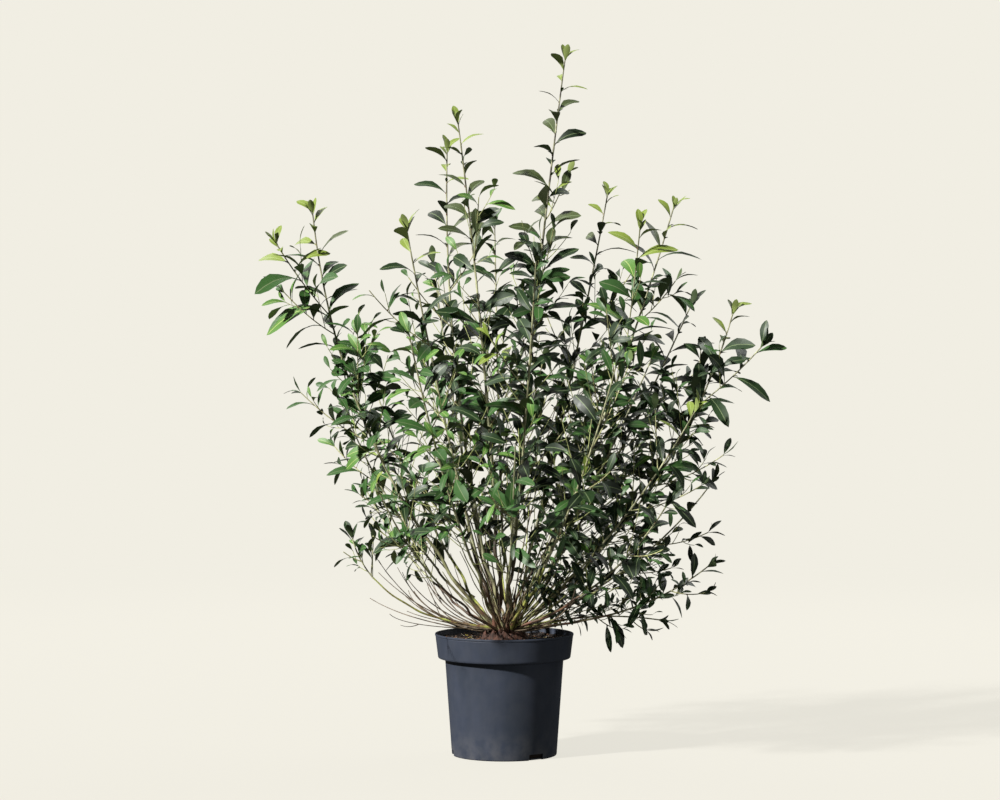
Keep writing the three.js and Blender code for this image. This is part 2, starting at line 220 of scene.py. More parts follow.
class Draws:
    """Seeded random numbers, drawn as the part's source draws them."""

    modulus: int = 2147483647
    multiplier: int = 48271

    def __init__(self, seed: int) -> None:
        """Starts the row of numbers that belongs to a seed."""
        self.state = (seed * 7919 + 104729) % self.modulus

    def __call__(self) -> float:
        """The next number from 0 to 1."""
        self.state = self.state * self.multiplier % self.modulus
        return self.state / self.modulus

    def between(self, low: float, high: float) -> float:
        """The next number, from low to high."""
        return low + (high - low) * self()

    def turn(self) -> float:
        """The next number as a turn all the way round, in radians."""
        return 2 * math.pi * self()


def unit(vector: Array) -> Array:
    """The vector at length 1."""
    return vector / np.linalg.norm(vector)


def flattened(vector: Array, normal: Array) -> Array:
    """The unit vector left of a vector on the plane square to a unit normal."""
    return unit(vector - normal * float(vector @ normal))


def level(angle: float) -> Array:
    """The level unit vector at an angle round the pot."""
    return np.array((math.cos(angle), math.sin(angle), 0.0))


def square_to(axis: Array, angle: float) -> Array:
    """The unit vector square to an axis, at an angle round it from its uphill side."""
    uphill = flattened(np.array((0.0, 1.0, 0.0)) if abs(axis[2]) > NEARLY_UPRIGHT else UP, axis)
    return uphill * math.cos(angle) + np.cross(axis, uphill) * math.sin(angle)


def slanted(axis: Array, turn: float, angle: float) -> Array:
    """A unit vector at an angle to an axis, on the side that a turn round the axis gives."""
    return axis * math.cos(angle) + square_to(axis, turn) * math.sin(angle)


class Bend:
    """A limb's line: a stretch of a curve with one bend, read by its length."""

    def __init__(self, start: Array, bend: Array, tip: Array, first: float = 0.0, last: float = 1.0) -> None:
        """Samples the curve.

        Args:
            start: Where the whole curve starts.
            bend: The point that it leans towards.
            tip: Where it ends.
            first: Share of the curve at which the stretch starts.
            last: Share at which it ends.
        """
        t = np.linspace(first, last, CURVE_STEPS + 1)[:, None]
        self.points = (1 - t) ** 2 * start + 2 * t * (1 - t) * bend + t * t * tip
        steps = np.linalg.norm(np.diff(self.points, axis=0), axis=1)
        self.reach = np.concatenate(([0.0], np.cumsum(steps)))
        self.length = float(self.reach[-1])

    def at(self, share: float) -> Array:
        """The point a share of the way along."""
        return np.array([np.interp(share * self.length, self.reach, self.points[:, k]) for k in range(3)])

    def heading(self, share: float) -> Array:
        """The unit vector along the curve, a share of the way along."""
        return unit(self.at(min(1.0, share + HEADING_STEP)) - self.at(max(0.0, share - HEADING_STEP)))

    def row(self, spacing: float) -> Array:
        """Points along the curve about a spacing apart."""
        count = max(3, round(self.length / spacing) + 1)
        return np.array([self.at(share) for share in np.linspace(0, 1, count)])

    def segments(self) -> Array:
        """The curve as straight segments, each a pair of points."""
        path = self.points[::PATH_STRIDE]
        return np.stack((path[:-1], path[1:]), axis=1)


def leaning(start: Array, tip: Array, out: float, up: float) -> tuple[Array, Array, Array]:
    """The three points of a limb's curve: its start, its bend and its tip."""
    share = np.array((out, out, up))
    return start, start + (tip - start) * share, tip


def distance(segments: Array, points: Array) -> Array:
    """How far points lie from the nearest of some segments.

    Args:
        segments: Pairs of points, as an array of n by 2 by 3.
        points: An array of m by 3.

    Returns:
        The m distances.
    """
    start, run = segments[:, 0], segments[:, 1] - segments[:, 0]
    apart = points[:, None] - start
    share = np.clip((apart * run).sum(-1) / (run * run).sum(-1), 0, 1)
    return np.linalg.norm(apart - share[..., None] * run, axis=-1).min(axis=1)


@dataclass
class Shoot:
    """A leafy shoot: its line, how thick it is, and its place in the branching."""

    line: Bend
    foot_radius: float
    tip_radius: float
    rank: Rank


@dataclass
class Stem:
    """A main stem from the root crown to the tip of its leading shoot."""

    name: str
    tip: Array
    bend_out: float
    bend_up: float
    bare: float
    radius: float
    foot: Array = field(default_factory=lambda: np.zeros(3))

    def line(self, first: float = 0.0, last: float = 1.0) -> Bend:
        """A stretch of the stem's line, from one share of its curve to another."""
        return Bend(*leaning(self.foot, self.tip, self.bend_out, self.bend_up), first, last)

    def forks(self) -> list[Bend]:
        """The lines of the stem's forks, each from where it leaves the stem to its tip."""
        return [
            Bend(*leaning(self.line(0, share).points[-1], np.array(tip, float), *FORK_BEND))
            for parent, share, tip in FORKS
            if parent == self.name
        ]

    def bough_tip_radius(self) -> float:
        """How thick the stem is where its leaves begin."""
        return mix(self.radius, SHOOT_TIP_RADIUS, self.bare)


def planted_stems() -> list[Stem]:
    """The stems, with their feet set apart on the root crown as in the part's source.

    Returns:
        The stems, in the source's order.
    """
    stems = []
    for name, tip, out, up, bare in STEMS:
        point = np.array(tip, float)
        reach = float(np.linalg.norm(point - UP * MIX_HEIGHT))
        stems.append(Stem(name, point, out, up, bare, STEM_BASE_RADIUS + reach * STEM_THICKENING))
    spots = []
    for stem in stems:
        out_to = stem.tip[:2]
        lean = math.atan2(float(np.linalg.norm(out_to)), stem.tip[2] - MIX_HEIGHT)
        spots.append(unit(out_to) * min(1.0, lean) * FOOT_REACH)
    for _ in range(FOOT_ROUNDS):
        for i, a in enumerate(stems):
            for j in range(i + 1, len(stems)):
                apart = spots[j] - spots[i]
                short = a.radius + stems[j].radius + FOOT_GAP - float(np.linalg.norm(apart))
                if short > 0:
                    spots[i] = spots[i] - unit(apart) * short / 2
                    spots[j] = spots[j] + unit(apart) * short / 2
    foot_height = MIX_HEIGHT + ROOT_CROWN_HEIGHT + 2 * SEAT_GAP
    for stem, spot in zip(stems, spots):
        stem.foot = np.array((spot[0], spot[1], foot_height))
    return stems


class Space:
    """The room that a mass of foliage grows in: nearer to its own shoots than to other stems."""

    def __init__(self, stem: Stem, stems: Sequence[Stem]) -> None:
        """Gathers the lines of the stem's own shoots, its bough and the other stems.

        Args:
            stem: The stem that bears the mass.
            stems: All stems.
        """
        own = [stem.line(stem.bare, 1), *stem.forks()]
        others = [line for one in stems if one is not stem for line in (one.line(), *one.forks())]
        self.own = np.concatenate([line.segments() for line in own])
        self.bough = stem.line(0, stem.bare).segments()
        self.others = np.concatenate([line.segments() for line in others])

    def holds(self, points: Array, margin: float, clearance: float) -> bool:
        """Whether points all lie in the mass's own room.

        Args:
            points: The points to test.
            margin: How much nearer they are to the mass's own shoots.
            clearance: How far they stay from the limbs.

        Returns:
            True if they all do.
        """
        away = distance(self.others, points)
        radius = np.hypot(points[:, 0], points[:, 1])
        off_pot = (points[:, 2] > POT_HEIGHT + LIMB_CLEARANCE) | (radius > RIM_RADIUS + LIMB_CLEARANCE)
        inside = (
            (away > clearance)
            & (away > distance(self.own, points) + margin)
            & (distance(self.bough, points) > clearance)
            & (points[:, 2] > LOWEST_LEAF)
            & off_pot
        )
        return bool(inside.all())


@dataclass(frozen=True)
class Branching:
    """The seeded rule by which side shoots leave a shoot, in millimetres and radians."""

    spacing: float
    zone: Range
    length: float
    least: int
    rank: Rank
    radius: float
    margin: float = SPACE_MARGIN
    clearance: float = LIMB_CLEARANCE
    most_of_parent: float = 0.55
    taper: float = 0.5
    angle: float = 0.8
    rise: float = 0.25
    outward_loss: float = 0.0
    place_play: float = 0.6
    least_reach: float = 0.8
    reach_play: float = 0.4

    def grow(self, parent: Shoot, space: Space, draws: Draws, lushness: float = 1.0) -> list[Shoot]:
        """Grows side shoots.

        Args:
            parent: The shoot that they leave.
            space: The room of their mass.
            draws: Random numbers.
            lushness: How many more of them there are than the rule says.

        Returns:
            The shoots that found room.
        """
        line = parent.line
        count = max(self.least, round(lushness * line.length / self.spacing))
        longest = min(self.length, self.most_of_parent * line.length)
        tip_radius = SHOOT_TIP_RADIUS * self.radius / TWIG_RADIUS
        shoots = []
        for i in range(count):
            share = mix(*self.zone, (i + self.place_play * draws()) / count)
            turn = i * SPIRAL_ANGLE + draws()
            reach = longest * (1 - self.taper * share) * (self.least_reach + self.reach_play * draws())
            axis, start = line.heading(share), line.at(share)
            for attempt in range(GROWTH_TRIES):
                along = slanted(axis, turn + attempt * RETRY_TURN, self.angle)
                length = reach * (1 - RETRY_SHORTENING * attempt)
                length *= 1 - self.outward_loss * max(0.0, float(along[:2] @ start[:2]) / SPREAD)
                tip = start + along * length + UP * length * self.rise
                side = Bend(start, start + along * length / 2, tip)
                middle_and_tip = side.points[CURVE_STEPS // 2 :: CURVE_STEPS // 4]
                if space.holds(middle_and_tip, self.margin, self.clearance):
                    shoots.append(Shoot(side, self.radius, tip_radius, self.rank))
                    break
        return shoots


# The source's own twigs first, then what carries them on
TWIGS = Branching(spacing=160, zone=(0.03, 0.75), length=175, least=2, rank=Rank.TWIG, radius=TWIG_RADIUS)
SPURS = Branching(
    spacing=46, zone=(0.02, 0.58), length=130, least=4, rank=Rank.SPUR, radius=1.25,
    margin=SHARED_SPACE, clearance=FINE_CLEARANCE, most_of_parent=0.4, outward_loss=0.5,
)
TWIG_SPURS = replace(SPURS, spacing=62, zone=(0.15, 0.8), length=85, least=1, radius=1.1, most_of_parent=0.5)


@dataclass(frozen=True)
class Suckers:
    """The short leafy shoots that rise from the root crown, low between the stems on the right."""

    count: int = 26
    seed: int = 733
    foot_out: Range = (4, 30)
    foot_aside: Range = (-26, 20)
    foot_depth: float = 4.0
    reach: Range = (50, 330)
    aside: Range = (-170, 120)
    far_reach: float = 190.0
    near_height: float = 370.0
    far_height: float = 290.0
    most_height: float = 520.0
    bend_out: Range = (0.3, 0.75)
    bend_up: Range = (0.25, 0.6)
    foot_radii: Range = (1.5, 2.1)
    tip_radius: float = 0.9

    def shoot(self, draws: Draws) -> Shoot:
        """Grows one shoot.

        Args:
            draws: Random numbers.

        Returns:
            The shoot.
        """
        foot_height = MIX_HEIGHT + ROOT_CROWN_HEIGHT - self.foot_depth
        foot = np.array((draws.between(*self.foot_out), draws.between(*self.foot_aside), foot_height))
        out = draws.between(*self.reach)
        aside = draws.between(*self.aside)
        least = self.far_height if out > self.far_reach else self.near_height
        tip = np.array((out, aside, draws.between(least, self.most_height)))
        line = Bend(*leaning(foot, tip, draws.between(*self.bend_out), draws.between(*self.bend_up)))
        return Shoot(line, draws.between(*self.foot_radii), self.tip_radius, Rank.SUCKER)


@dataclass(frozen=True)
class Light:
    """How well lit a place in the crown is, from about 0 to 1, and the tints that follow from it. The tints
    paint this light and shade into the leaves: darker to the right, lower down and further back up to 150 mm
    behind the middle, lighter to the left, high up and at the front.
    """

    at_middle: float = 0.48
    middle_height: float = 700.0
    dimmed_by_right: float = 2600.0
    lit_by_height: float = 3400.0
    dimmed_by_depth: float = 2400.0
    darkest_depth: float = 150.0
    play: float = 0.28
    limits: tuple[tuple[float, Tint], ...] = ((0.3, Tint.DEEP), (0.62, Tint.DARK), (0.92, Tint.GREEN))
    tip_leaves: int = 3
    foot_leaves: int = 4
    younger_at_tip: float = 0.6
    younger: float = 0.86
    older_at_foot: float = 0.2
    olive_height: float = 1000.0
    olive_share: float = 0.65

    def spray(self, spot: Array, draws: Draws) -> Tint:
        """The tint of a spray, by how much light its place in the crown gets.

        Args:
            spot: The place.
            draws: Random numbers.

        Returns:
            The tint.
        """
        # Painted light and shade: the spray's tint darkens to the right, lower down and further back, up to
        # the darkest depth
        depth = spot[1] if spot[1] < self.darkest_depth else 2 * self.darkest_depth - spot[1]
        lit = self.at_middle - spot[0] / self.dimmed_by_right
        lit = lit + (spot[2] - self.middle_height) / self.lit_by_height
        lit = lit - depth / self.dimmed_by_depth + draws.between(-self.play, self.play)
        return next((tint for limit, tint in self.limits if lit < limit), Tint.FRESH)

    def leaf(self, spray: Tint, spot: Array, from_tip: int, draws: Draws) -> Tint:
        """The tint of one leaf of a spray: younger towards the tip, and often olive high up.

        Args:
            spray: The spray's tint.
            spot: Where the leaf stands.
            from_tip: How many leaves there are between it and the shoot's tip.
            draws: Random numbers.

        Returns:
            The tint.
        """
        tints, chance = list(Tint), draws()
        place = tints.index(spray)
        if from_tip < self.tip_leaves and chance < self.younger_at_tip:
            place += 1
        if chance > self.younger:
            place += 1
        elif from_tip > self.foot_leaves and chance < self.older_at_foot:
            place -= 1
        tint = tints[min(max(place, 0), tints.index(Tint.FRESH))]
        turns = spot[2] > self.olive_height and tint in (Tint.DARK, Tint.GREEN)
        return Tint.OLIVE if turns and draws() < self.olive_share else tint


@dataclass(frozen=True)
class Crown:
    """How leafy the crown is from place to place, and how large its leaves are, as shares.

    Leaves set in between two distances from the root crown, and nearer to it on the right. Each
    glade is a reach in x, in y and in z with the most leaves that are left there.
    """

    right_side: float = 120.0
    right_heart: Range = (150, 310)
    heart: Range = (215, 450)
    fan_depth: float = 60.0
    fan_width: Range = (-270, 60)
    fan_top: float = 345.0
    fan_fade: float = 250.0
    leader_height: float = 930.0
    leaf_heights: tuple[float, ...] = (380, 700, 820, 1000)
    low_leaf: float = 0.74
    high_leaf: float = 1.08
    far_leaf: float = 1.22
    far_left: float = -290.0
    glades: tuple[tuple[Range, Range, Range, float], ...] = (
        ((-240, 240), (-240, 240), (300, 880), 0.5),
        ((-210, -50), (-600, 600), (880, 960), 0.45),
        ((-140, 230), (-600, 600), (400, 600), 0.58),
        ((-140, 260), (-600, 600), (600, 770), 0.46),
        ((-400, -130), (-600, 600), (620, 720), 0.9),
        ((-400, -110), (-600, 600), (380, 620), 0.5),
        ((-190, -45), (-600, 600), (960, 1200), 0.3),
        ((-10, 135), (-600, 600), (1000, 1200), 0.4),
        ((-330, -190), (-600, 600), (885, 1010), 0.3),
        ((-400, -330), (-600, 600), (700, 880), 0.8),
        ((235, 310), (-600, 600), (930, 1000), 0.5),
        ((240, 600), (-600, 600), (200, 640), 0.75),
        ((250, 360), (-600, 600), (390, 660), 0.5),
    )

    def leafiness(self, spot: Array, rank: Rank) -> float:
        """The share of leaves that are left at a place.

        Args:
            spot: The place.
            rank: The shoot's rank, because high leading shoots keep all their leaves in the glades.

        Returns:
            The share, from 0 to 1.
        """
        away = float(np.linalg.norm(spot - UP * MIX_HEIGHT))
        bare, full = self.right_heart if spot[0] > self.right_side else self.heart
        share = (away - bare) / (full - bare)
        if spot[1] < self.fan_depth and self.fan_width[0] < spot[0] < self.fan_width[1]:
            share = min(share, (spot[2] - self.fan_top) / self.fan_fade)
        if rank is not Rank.LEADER or spot[2] <= self.leader_height:
            for *reach, most in self.glades:
                if all(low < value < high for value, (low, high) in zip(spot, reach)):
                    share = min(share, most)
        return min(1.0, max(0.0, share))

    def leaf_scale(self, spot: Array, rank: Rank) -> float:
        """How large leaves are at a place: small low down, and largest high up at the far left."""
        high = self.far_leaf if spot[0] < self.far_left else 1.0 if rank is Rank.LEADER else self.high_leaf
        return float(np.interp(spot[2], self.leaf_heights, (self.low_leaf, 1.0, 1.0, high)))


LIGHT = Light()
CROWN = Crown()


@dataclass(frozen=True)
class Node:
    """A place on a shoot that bears a leaf: where, along what, how far up and round, and from the tip."""

    spot: Array
    axis: Array
    share: float
    turn: float
    from_tip: int


@dataclass(frozen=True)
class Leaf:
    """One leaf as drawn: its tint, how it stands, its size in millimetres and how it bends."""

    tint: Tint
    turn: float
    angle: float
    size: float
    width: float
    roll: float
    arch: float
    droop: float
    twist: float


@dataclass(frozen=True)
class Leafing:
    """The rule by which leaves spiral up a shoot, in millimetres, radians and shares."""

    length: float
    spacing: float
    bare_foot: float
    # How often a shoot's tip is in young flush, far more often high up: the flush's own pale colour, and
    # partly painted light, as the top of the crown is lit from behind
    flush: float
    cluster: int = 0
    most_bare: float = 0.6
    least: int = 3
    tint_place: float = 0.6
    flush_height: float = 1000.0
    low_flush: float = 0.3
    foot_angle: float = 1.12
    tip_angle: float = 0.85
    angle_play: Range = (-0.15, 0.2)
    foot_size: float = 1.06
    tip_size: float = 0.82
    size_play: Range = (0.75, 1.2)
    turn_play: Range = (-0.35, 0.35)
    tip_leaves: int = 4
    last_size: float = 0.7
    size_step: float = 0.08
    last_angle: float = 0.4
    angle_step: float = 0.2
    last_angle_play: Range = (0, 0.25)
    roll: float = 0.7
    arch: Range = (0.1, 0.42)
    droop: Range = (0.0, 0.2)
    twist: Range = (-0.9, 0.9)
    width: Range = (0.84, 1.08)
    lift: float = 0.1
    facing: Triple = (0.7, 0.45, 0.68)

    def leaf(self, node: Node, spray: Tint, flush: bool, rank: Rank, draws: Draws) -> Leaf:
        """Draws one leaf.

        Args:
            node: The node that bears it.
            spray: The tint of its spray.
            flush: Whether the shoot's tip is in young flush.
            rank: The shoot's rank.
            draws: Random numbers.

        Returns:
            The leaf.
        """
        angle = mix(self.foot_angle, self.tip_angle, node.share) + draws.between(*self.angle_play)
        size = self.length * mix(self.foot_size, self.tip_size, node.share * node.share)
        size *= draws.between(*self.size_play)
        if node.from_tip < self.tip_leaves:
            size *= self.last_size + self.size_step * node.from_tip
            angle = self.last_angle + self.angle_step * node.from_tip + draws.between(*self.last_angle_play)
        turn = node.turn + draws.between(*self.turn_play)
        if flush and node.from_tip < self.tip_leaves:
            tint = Tint.YOUNG
        else:
            tint = LIGHT.leaf(spray, node.spot, node.from_tip, draws)
        size *= CROWN.leaf_scale(node.spot, rank)
        arch, droop = draws.between(*self.arch), draws.between(*self.droop)
        roll = draws.between(-self.roll, self.roll)
        twist, width = draws.between(*self.twist), draws.between(*self.width)
        return Leaf(tint, turn, angle, size, width, roll, arch, droop, twist)

    def stance(self, node: Node, leaf: Leaf, turn: float) -> tuple[Array, Array]:
        """How a leaf stands at a turn round its shoot.

        Args:
            node: The node that bears it.
            leaf: The leaf.
            turn: How much further round it stands than it was drawn.

        Returns:
            The unit vectors along the leaf and square to its upper side.
        """
        shootward, upward, lightward = self.facing
        along = unit(slanted(node.axis, leaf.turn + turn, leaf.angle) + UP * self.lift)
        upper = flattened(node.axis * shootward + UP * upward + LIGHTWARD * lightward, along)
        return along, upper * math.cos(leaf.roll) + np.cross(along, upper) * math.sin(leaf.roll)


LEAFING = {
    Rank.LEADER: Leafing(88, spacing=21.5, bare_foot=6, flush=0.85, cluster=4, tip_size=0.72, roll=0.5),
    Rank.TWIG: Leafing(70, spacing=19.5, bare_foot=14, flush=0.16, cluster=2),
    Rank.SPUR: Leafing(59, spacing=17, bare_foot=12, flush=0.02),
    Rank.SUCKER: Leafing(44, spacing=13.5, bare_foot=90, flush=0.1, cluster=2),
}


@dataclass(frozen=True)
class SmallGrowth:
    """The rule for buds, for the small leaves at a tip, and for the leaflets in some leaf axils."""

    bud_sizes: Range = (3.2, 5.4)
    bud_lean: float = 0.45
    bud_seat: float = 0.75
    tip_angles: Range = (0.15, 0.6)
    tip_sizes: Range = (24, 42)
    tip_width: float = 1.15
    tip_spacing: float = 3.0
    tip_arches: Range = (-0.1, 0.3)
    tip_twist: float = 0.3
    leaflet_share: float = 0.45
    leaflet_turns: Range = (0.2, 0.7)
    leaflet_angles: Range = (0.4, 0.9)
    leaflet_sizes: Range = (10, 19)
    leaflet_width: float = 1.2
    leaflet_arch: float = 0.3


SMALL = SmallGrowth()


def attribute(mesh: Mesh, name: str, kind: str, domain: str, values: Sequence) -> None:
    """Gives a mesh a named attribute of a kind on its points, edges or faces."""
    slot = "vector" if kind == "FLOAT_VECTOR" else "value"
    mesh.attributes.new(name, kind, domain).data.foreach_set(slot, values)


@dataclass
class Placings:
    """Places for copies of one small form: where, which way and how large."""

    spots: list[Array] = field(default_factory=list)
    vectors: dict[str, list] = field(default_factory=lambda: {"turn": [], "size": [], "face": []})
    numbers: dict[str, list] = field(default_factory=lambda: {"arch": [], "droop": [], "twist": []})

    def add(self, spot: Array, along: Array, face: Array, size: Triple, bends: Triple = (0, 0, 0)) -> None:
        """Adds one place.

        Args:
            spot: Where the copy's foot stands, in millimetres.
            along: The unit vector that its length follows.
            face: The unit vector that its upper side faces.
            size: Its width, length and height, in millimetres.
            bends: How far its tip bends back from the face and how far it hangs, as shares of its
                length, and how far it is wrung about its length, as a slope.
        """
        side = np.cross(along, face)
        turned = Matrix((side, along, face)).transposed().to_euler("XYZ")
        self.spots.append(spot)
        for rows, value in zip(self.vectors.values(), (tuple(turned), size, face)):
            rows.append(value)
        for rows, value in zip(self.numbers.values(), bends):
            rows.append(value)

    def points(self, name: str) -> Mesh:
        """A mesh of loose points that carry these places, for a node tree to read.

        Args:
            name: The mesh's name.

        Returns:
            The mesh, in metres.
        """
        mesh = bpy.data.meshes.new(name)
        mesh.from_pydata([tuple(spot * MM) for spot in self.spots], [], [])
        for title, rows in self.vectors.items():
            values = np.array(rows, np.float32).ravel() * (MM if title == "size" else 1.0)
            attribute(mesh, title, "FLOAT_VECTOR", "POINT", values)
        for title, values in self.numbers.items():
            attribute(mesh, title, "FLOAT", "POINT", np.array(values, np.float32))
        return mesh


@dataclass
class Growth:
    """All that grows: the stems, the leafy shoots, and the places of leaves and buds."""

    stems: list[Stem] = field(default_factory=list)
    shoots: dict[Rank, list[Shoot]] = field(default_factory=lambda: {rank: [] for rank in Rank})
    leaves: dict[Tint, Placings] = field(default_factory=lambda: {tint: Placings() for tint in Tint})
    buds: Placings = field(default_factory=Placings)

    def run(self) -> None:
        """Grows the whole plant: each stem by its own two rows of draws, and then the suckers."""
        self.stems = planted_stems()
        for index, stem in enumerate(self.stems):
            space = Space(stem, self.stems)
            leader = Shoot(stem.line(stem.bare, 1), stem.bough_tip_radius(), SHOOT_TIP_RADIUS, Rank.LEADER)
            forks = [Shoot(line, TWIG_RADIUS, SHOOT_TIP_RADIUS, Rank.LEADER) for line in stem.forks()]
            twigs = TWIGS.grow(leader, space, Draws(index + 1))
            finer = Draws(index + 101)
            spurs = SPURS.grow(leader, space, finer, LUSHNESS.get(stem.name, 1.0))
            for fork in forks:
                spurs += TWIG_SPURS.grow(fork, space, finer, FORK_LUSHNESS)
            for twig in twigs:
                spurs += TWIG_SPURS.grow(twig, space, finer)
            for shoot in (leader, *forks, *twigs, *spurs):
                self.dress(shoot, space, finer, SHARED_BY_LEAVES)
        suckers = Suckers()
        space, draws = Space(self.stems[0], self.stems), Draws(suckers.seed)
        for _ in range(suckers.count):
            self.dress(suckers.shoot(draws), space, draws, ANYWHERE)

    def dress(self, shoot: Shoot, space: Space, draws: Draws, margin: float) -> None:
        """Takes in a shoot, and sets leaves and buds along it.

        Args:
            shoot: The shoot.
            space: The room of its mass.
            draws: Random numbers.
            margin: How much nearer its leaves are to the mass's own shoots.
        """
        self.shoots[shoot.rank].append(shoot)
        rule, line = LEAFING[shoot.rank], shoot.line
        first = min(rule.most_bare, rule.bare_foot / line.length)
        count = max(rule.least, round((1 - first) * line.length / rule.spacing))
        spray = LIGHT.spray(line.at(rule.tint_place), draws)
        flush = draws() < rule.flush * (1.0 if line.at(1.0)[2] > rule.flush_height else rule.low_flush)
        for i in range(count + 1):
            share = mix(first, 1.0, i / count)
            node = Node(line.at(share), line.heading(share), share, i * SPIRAL_ANGLE, count - i)
            leaf = rule.leaf(node, spray, flush, shoot.rank, draws)
            if shoot.rank is not Rank.SUCKER and draws() > CROWN.leafiness(node.spot, shoot.rank):
                continue
            self.set_leaf(node, leaf, rule, space, margin)
            if shoot.rank in (Rank.LEADER, Rank.TWIG) and node.from_tip > 1:
                self.bud(shoot, node, leaf.turn, draws)
                if shoot.rank is Rank.LEADER and draws() < SMALL.leaflet_share:
                    self.tuft(node, leaf.turn, spray, draws)
        if draws() < CROWN.leafiness(line.at(1.0), shoot.rank):
            self.cluster(line, rule.cluster, Tint.YOUNG if flush else spray, draws)

    def set_leaf(self, node: Node, leaf: Leaf, rule: Leafing, space: Space, margin: float) -> None:
        """Sets a leaf where it has room, turned on round the shoot if need be, or leaves it out.

        Args:
            node: The node that bears it.
            leaf: The leaf.
            rule: The rule of its shoot.
            space: The room of its mass.
            margin: How much nearer it is to the mass's own shoots.
        """
        for attempt in range(GROWTH_TRIES):
            along, face = rule.stance(node, leaf, attempt * RETRY_TURN)
            middle_and_tip = np.array([node.spot + along * leaf.size * part for part in (0.5, 1.0)])
            if space.holds(middle_and_tip, margin, FINE_CLEARANCE):
                size = (leaf.size * leaf.width, leaf.size, leaf.size)
                self.leaves[leaf.tint].add(node.spot, along, face, size, (leaf.arch, leaf.droop, leaf.twist))
                break

    def bud(self, shoot: Shoot, node: Node, turn: float, draws: Draws) -> None:
        """Sets a bud in a leaf's axil.

        Args:
            shoot: The shoot.
            node: The node that it stands on.
            turn: The leaf's turn round the shoot.
            draws: Random numbers.
        """
        outward = square_to(node.axis, turn)
        radius = mix(shoot.foot_radius, shoot.tip_radius, node.share) * SLENDERNESS
        size = draws.between(*SMALL.bud_sizes)
        along = unit(node.axis + outward * SMALL.bud_lean)
        spot = node.spot + outward * radius * SMALL.bud_seat
        self.buds.add(spot, along, flattened(outward, along), (size, size, size))

    def cluster(self, line: Bend, count: int, tint: Tint, draws: Draws) -> None:
        """Sets the small upright leaves that close a shoot's tip.

        Args:
            line: The shoot's line.
            count: How many there are.
            tint: Their tint.
            draws: Random numbers.
        """
        axis = line.heading(1.0)
        for k in range(count):
            along = slanted(axis, k * SPIRAL_ANGLE + draws(), draws.between(*SMALL.tip_angles))
            length = draws.between(*SMALL.tip_sizes)
            size = (length * SMALL.tip_width, length, length)
            spot = line.at(1.0 - SMALL.tip_spacing * k / line.length)
            bends = (draws.between(*SMALL.tip_arches), 0.0, SMALL.tip_twist)
            self.leaves[tint].add(spot, along, flattened(axis, along), size, bends)

    def tuft(self, node: Node, turn: float, tint: Tint, draws: Draws) -> None:
        """Sets a tuft of small leaflets in a leaf's axil.

        Args:
            node: The node that it stands on.
            turn: The leaf's turn round the shoot.
            tint: The leaflets' tint.
            draws: Random numbers.
        """
        for side in (-1, 1):
            aside = turn + side * draws.between(*SMALL.leaflet_turns)
            along = slanted(node.axis, aside, draws.between(*SMALL.leaflet_angles))
            length = draws.between(*SMALL.leaflet_sizes)
            size = (length * SMALL.leaflet_width, length, length)
            bends = (SMALL.leaflet_arch, 0.0, 0.0)
            self.leaves[tint].add(node.spot, along, flattened(node.axis, along), size, bends)


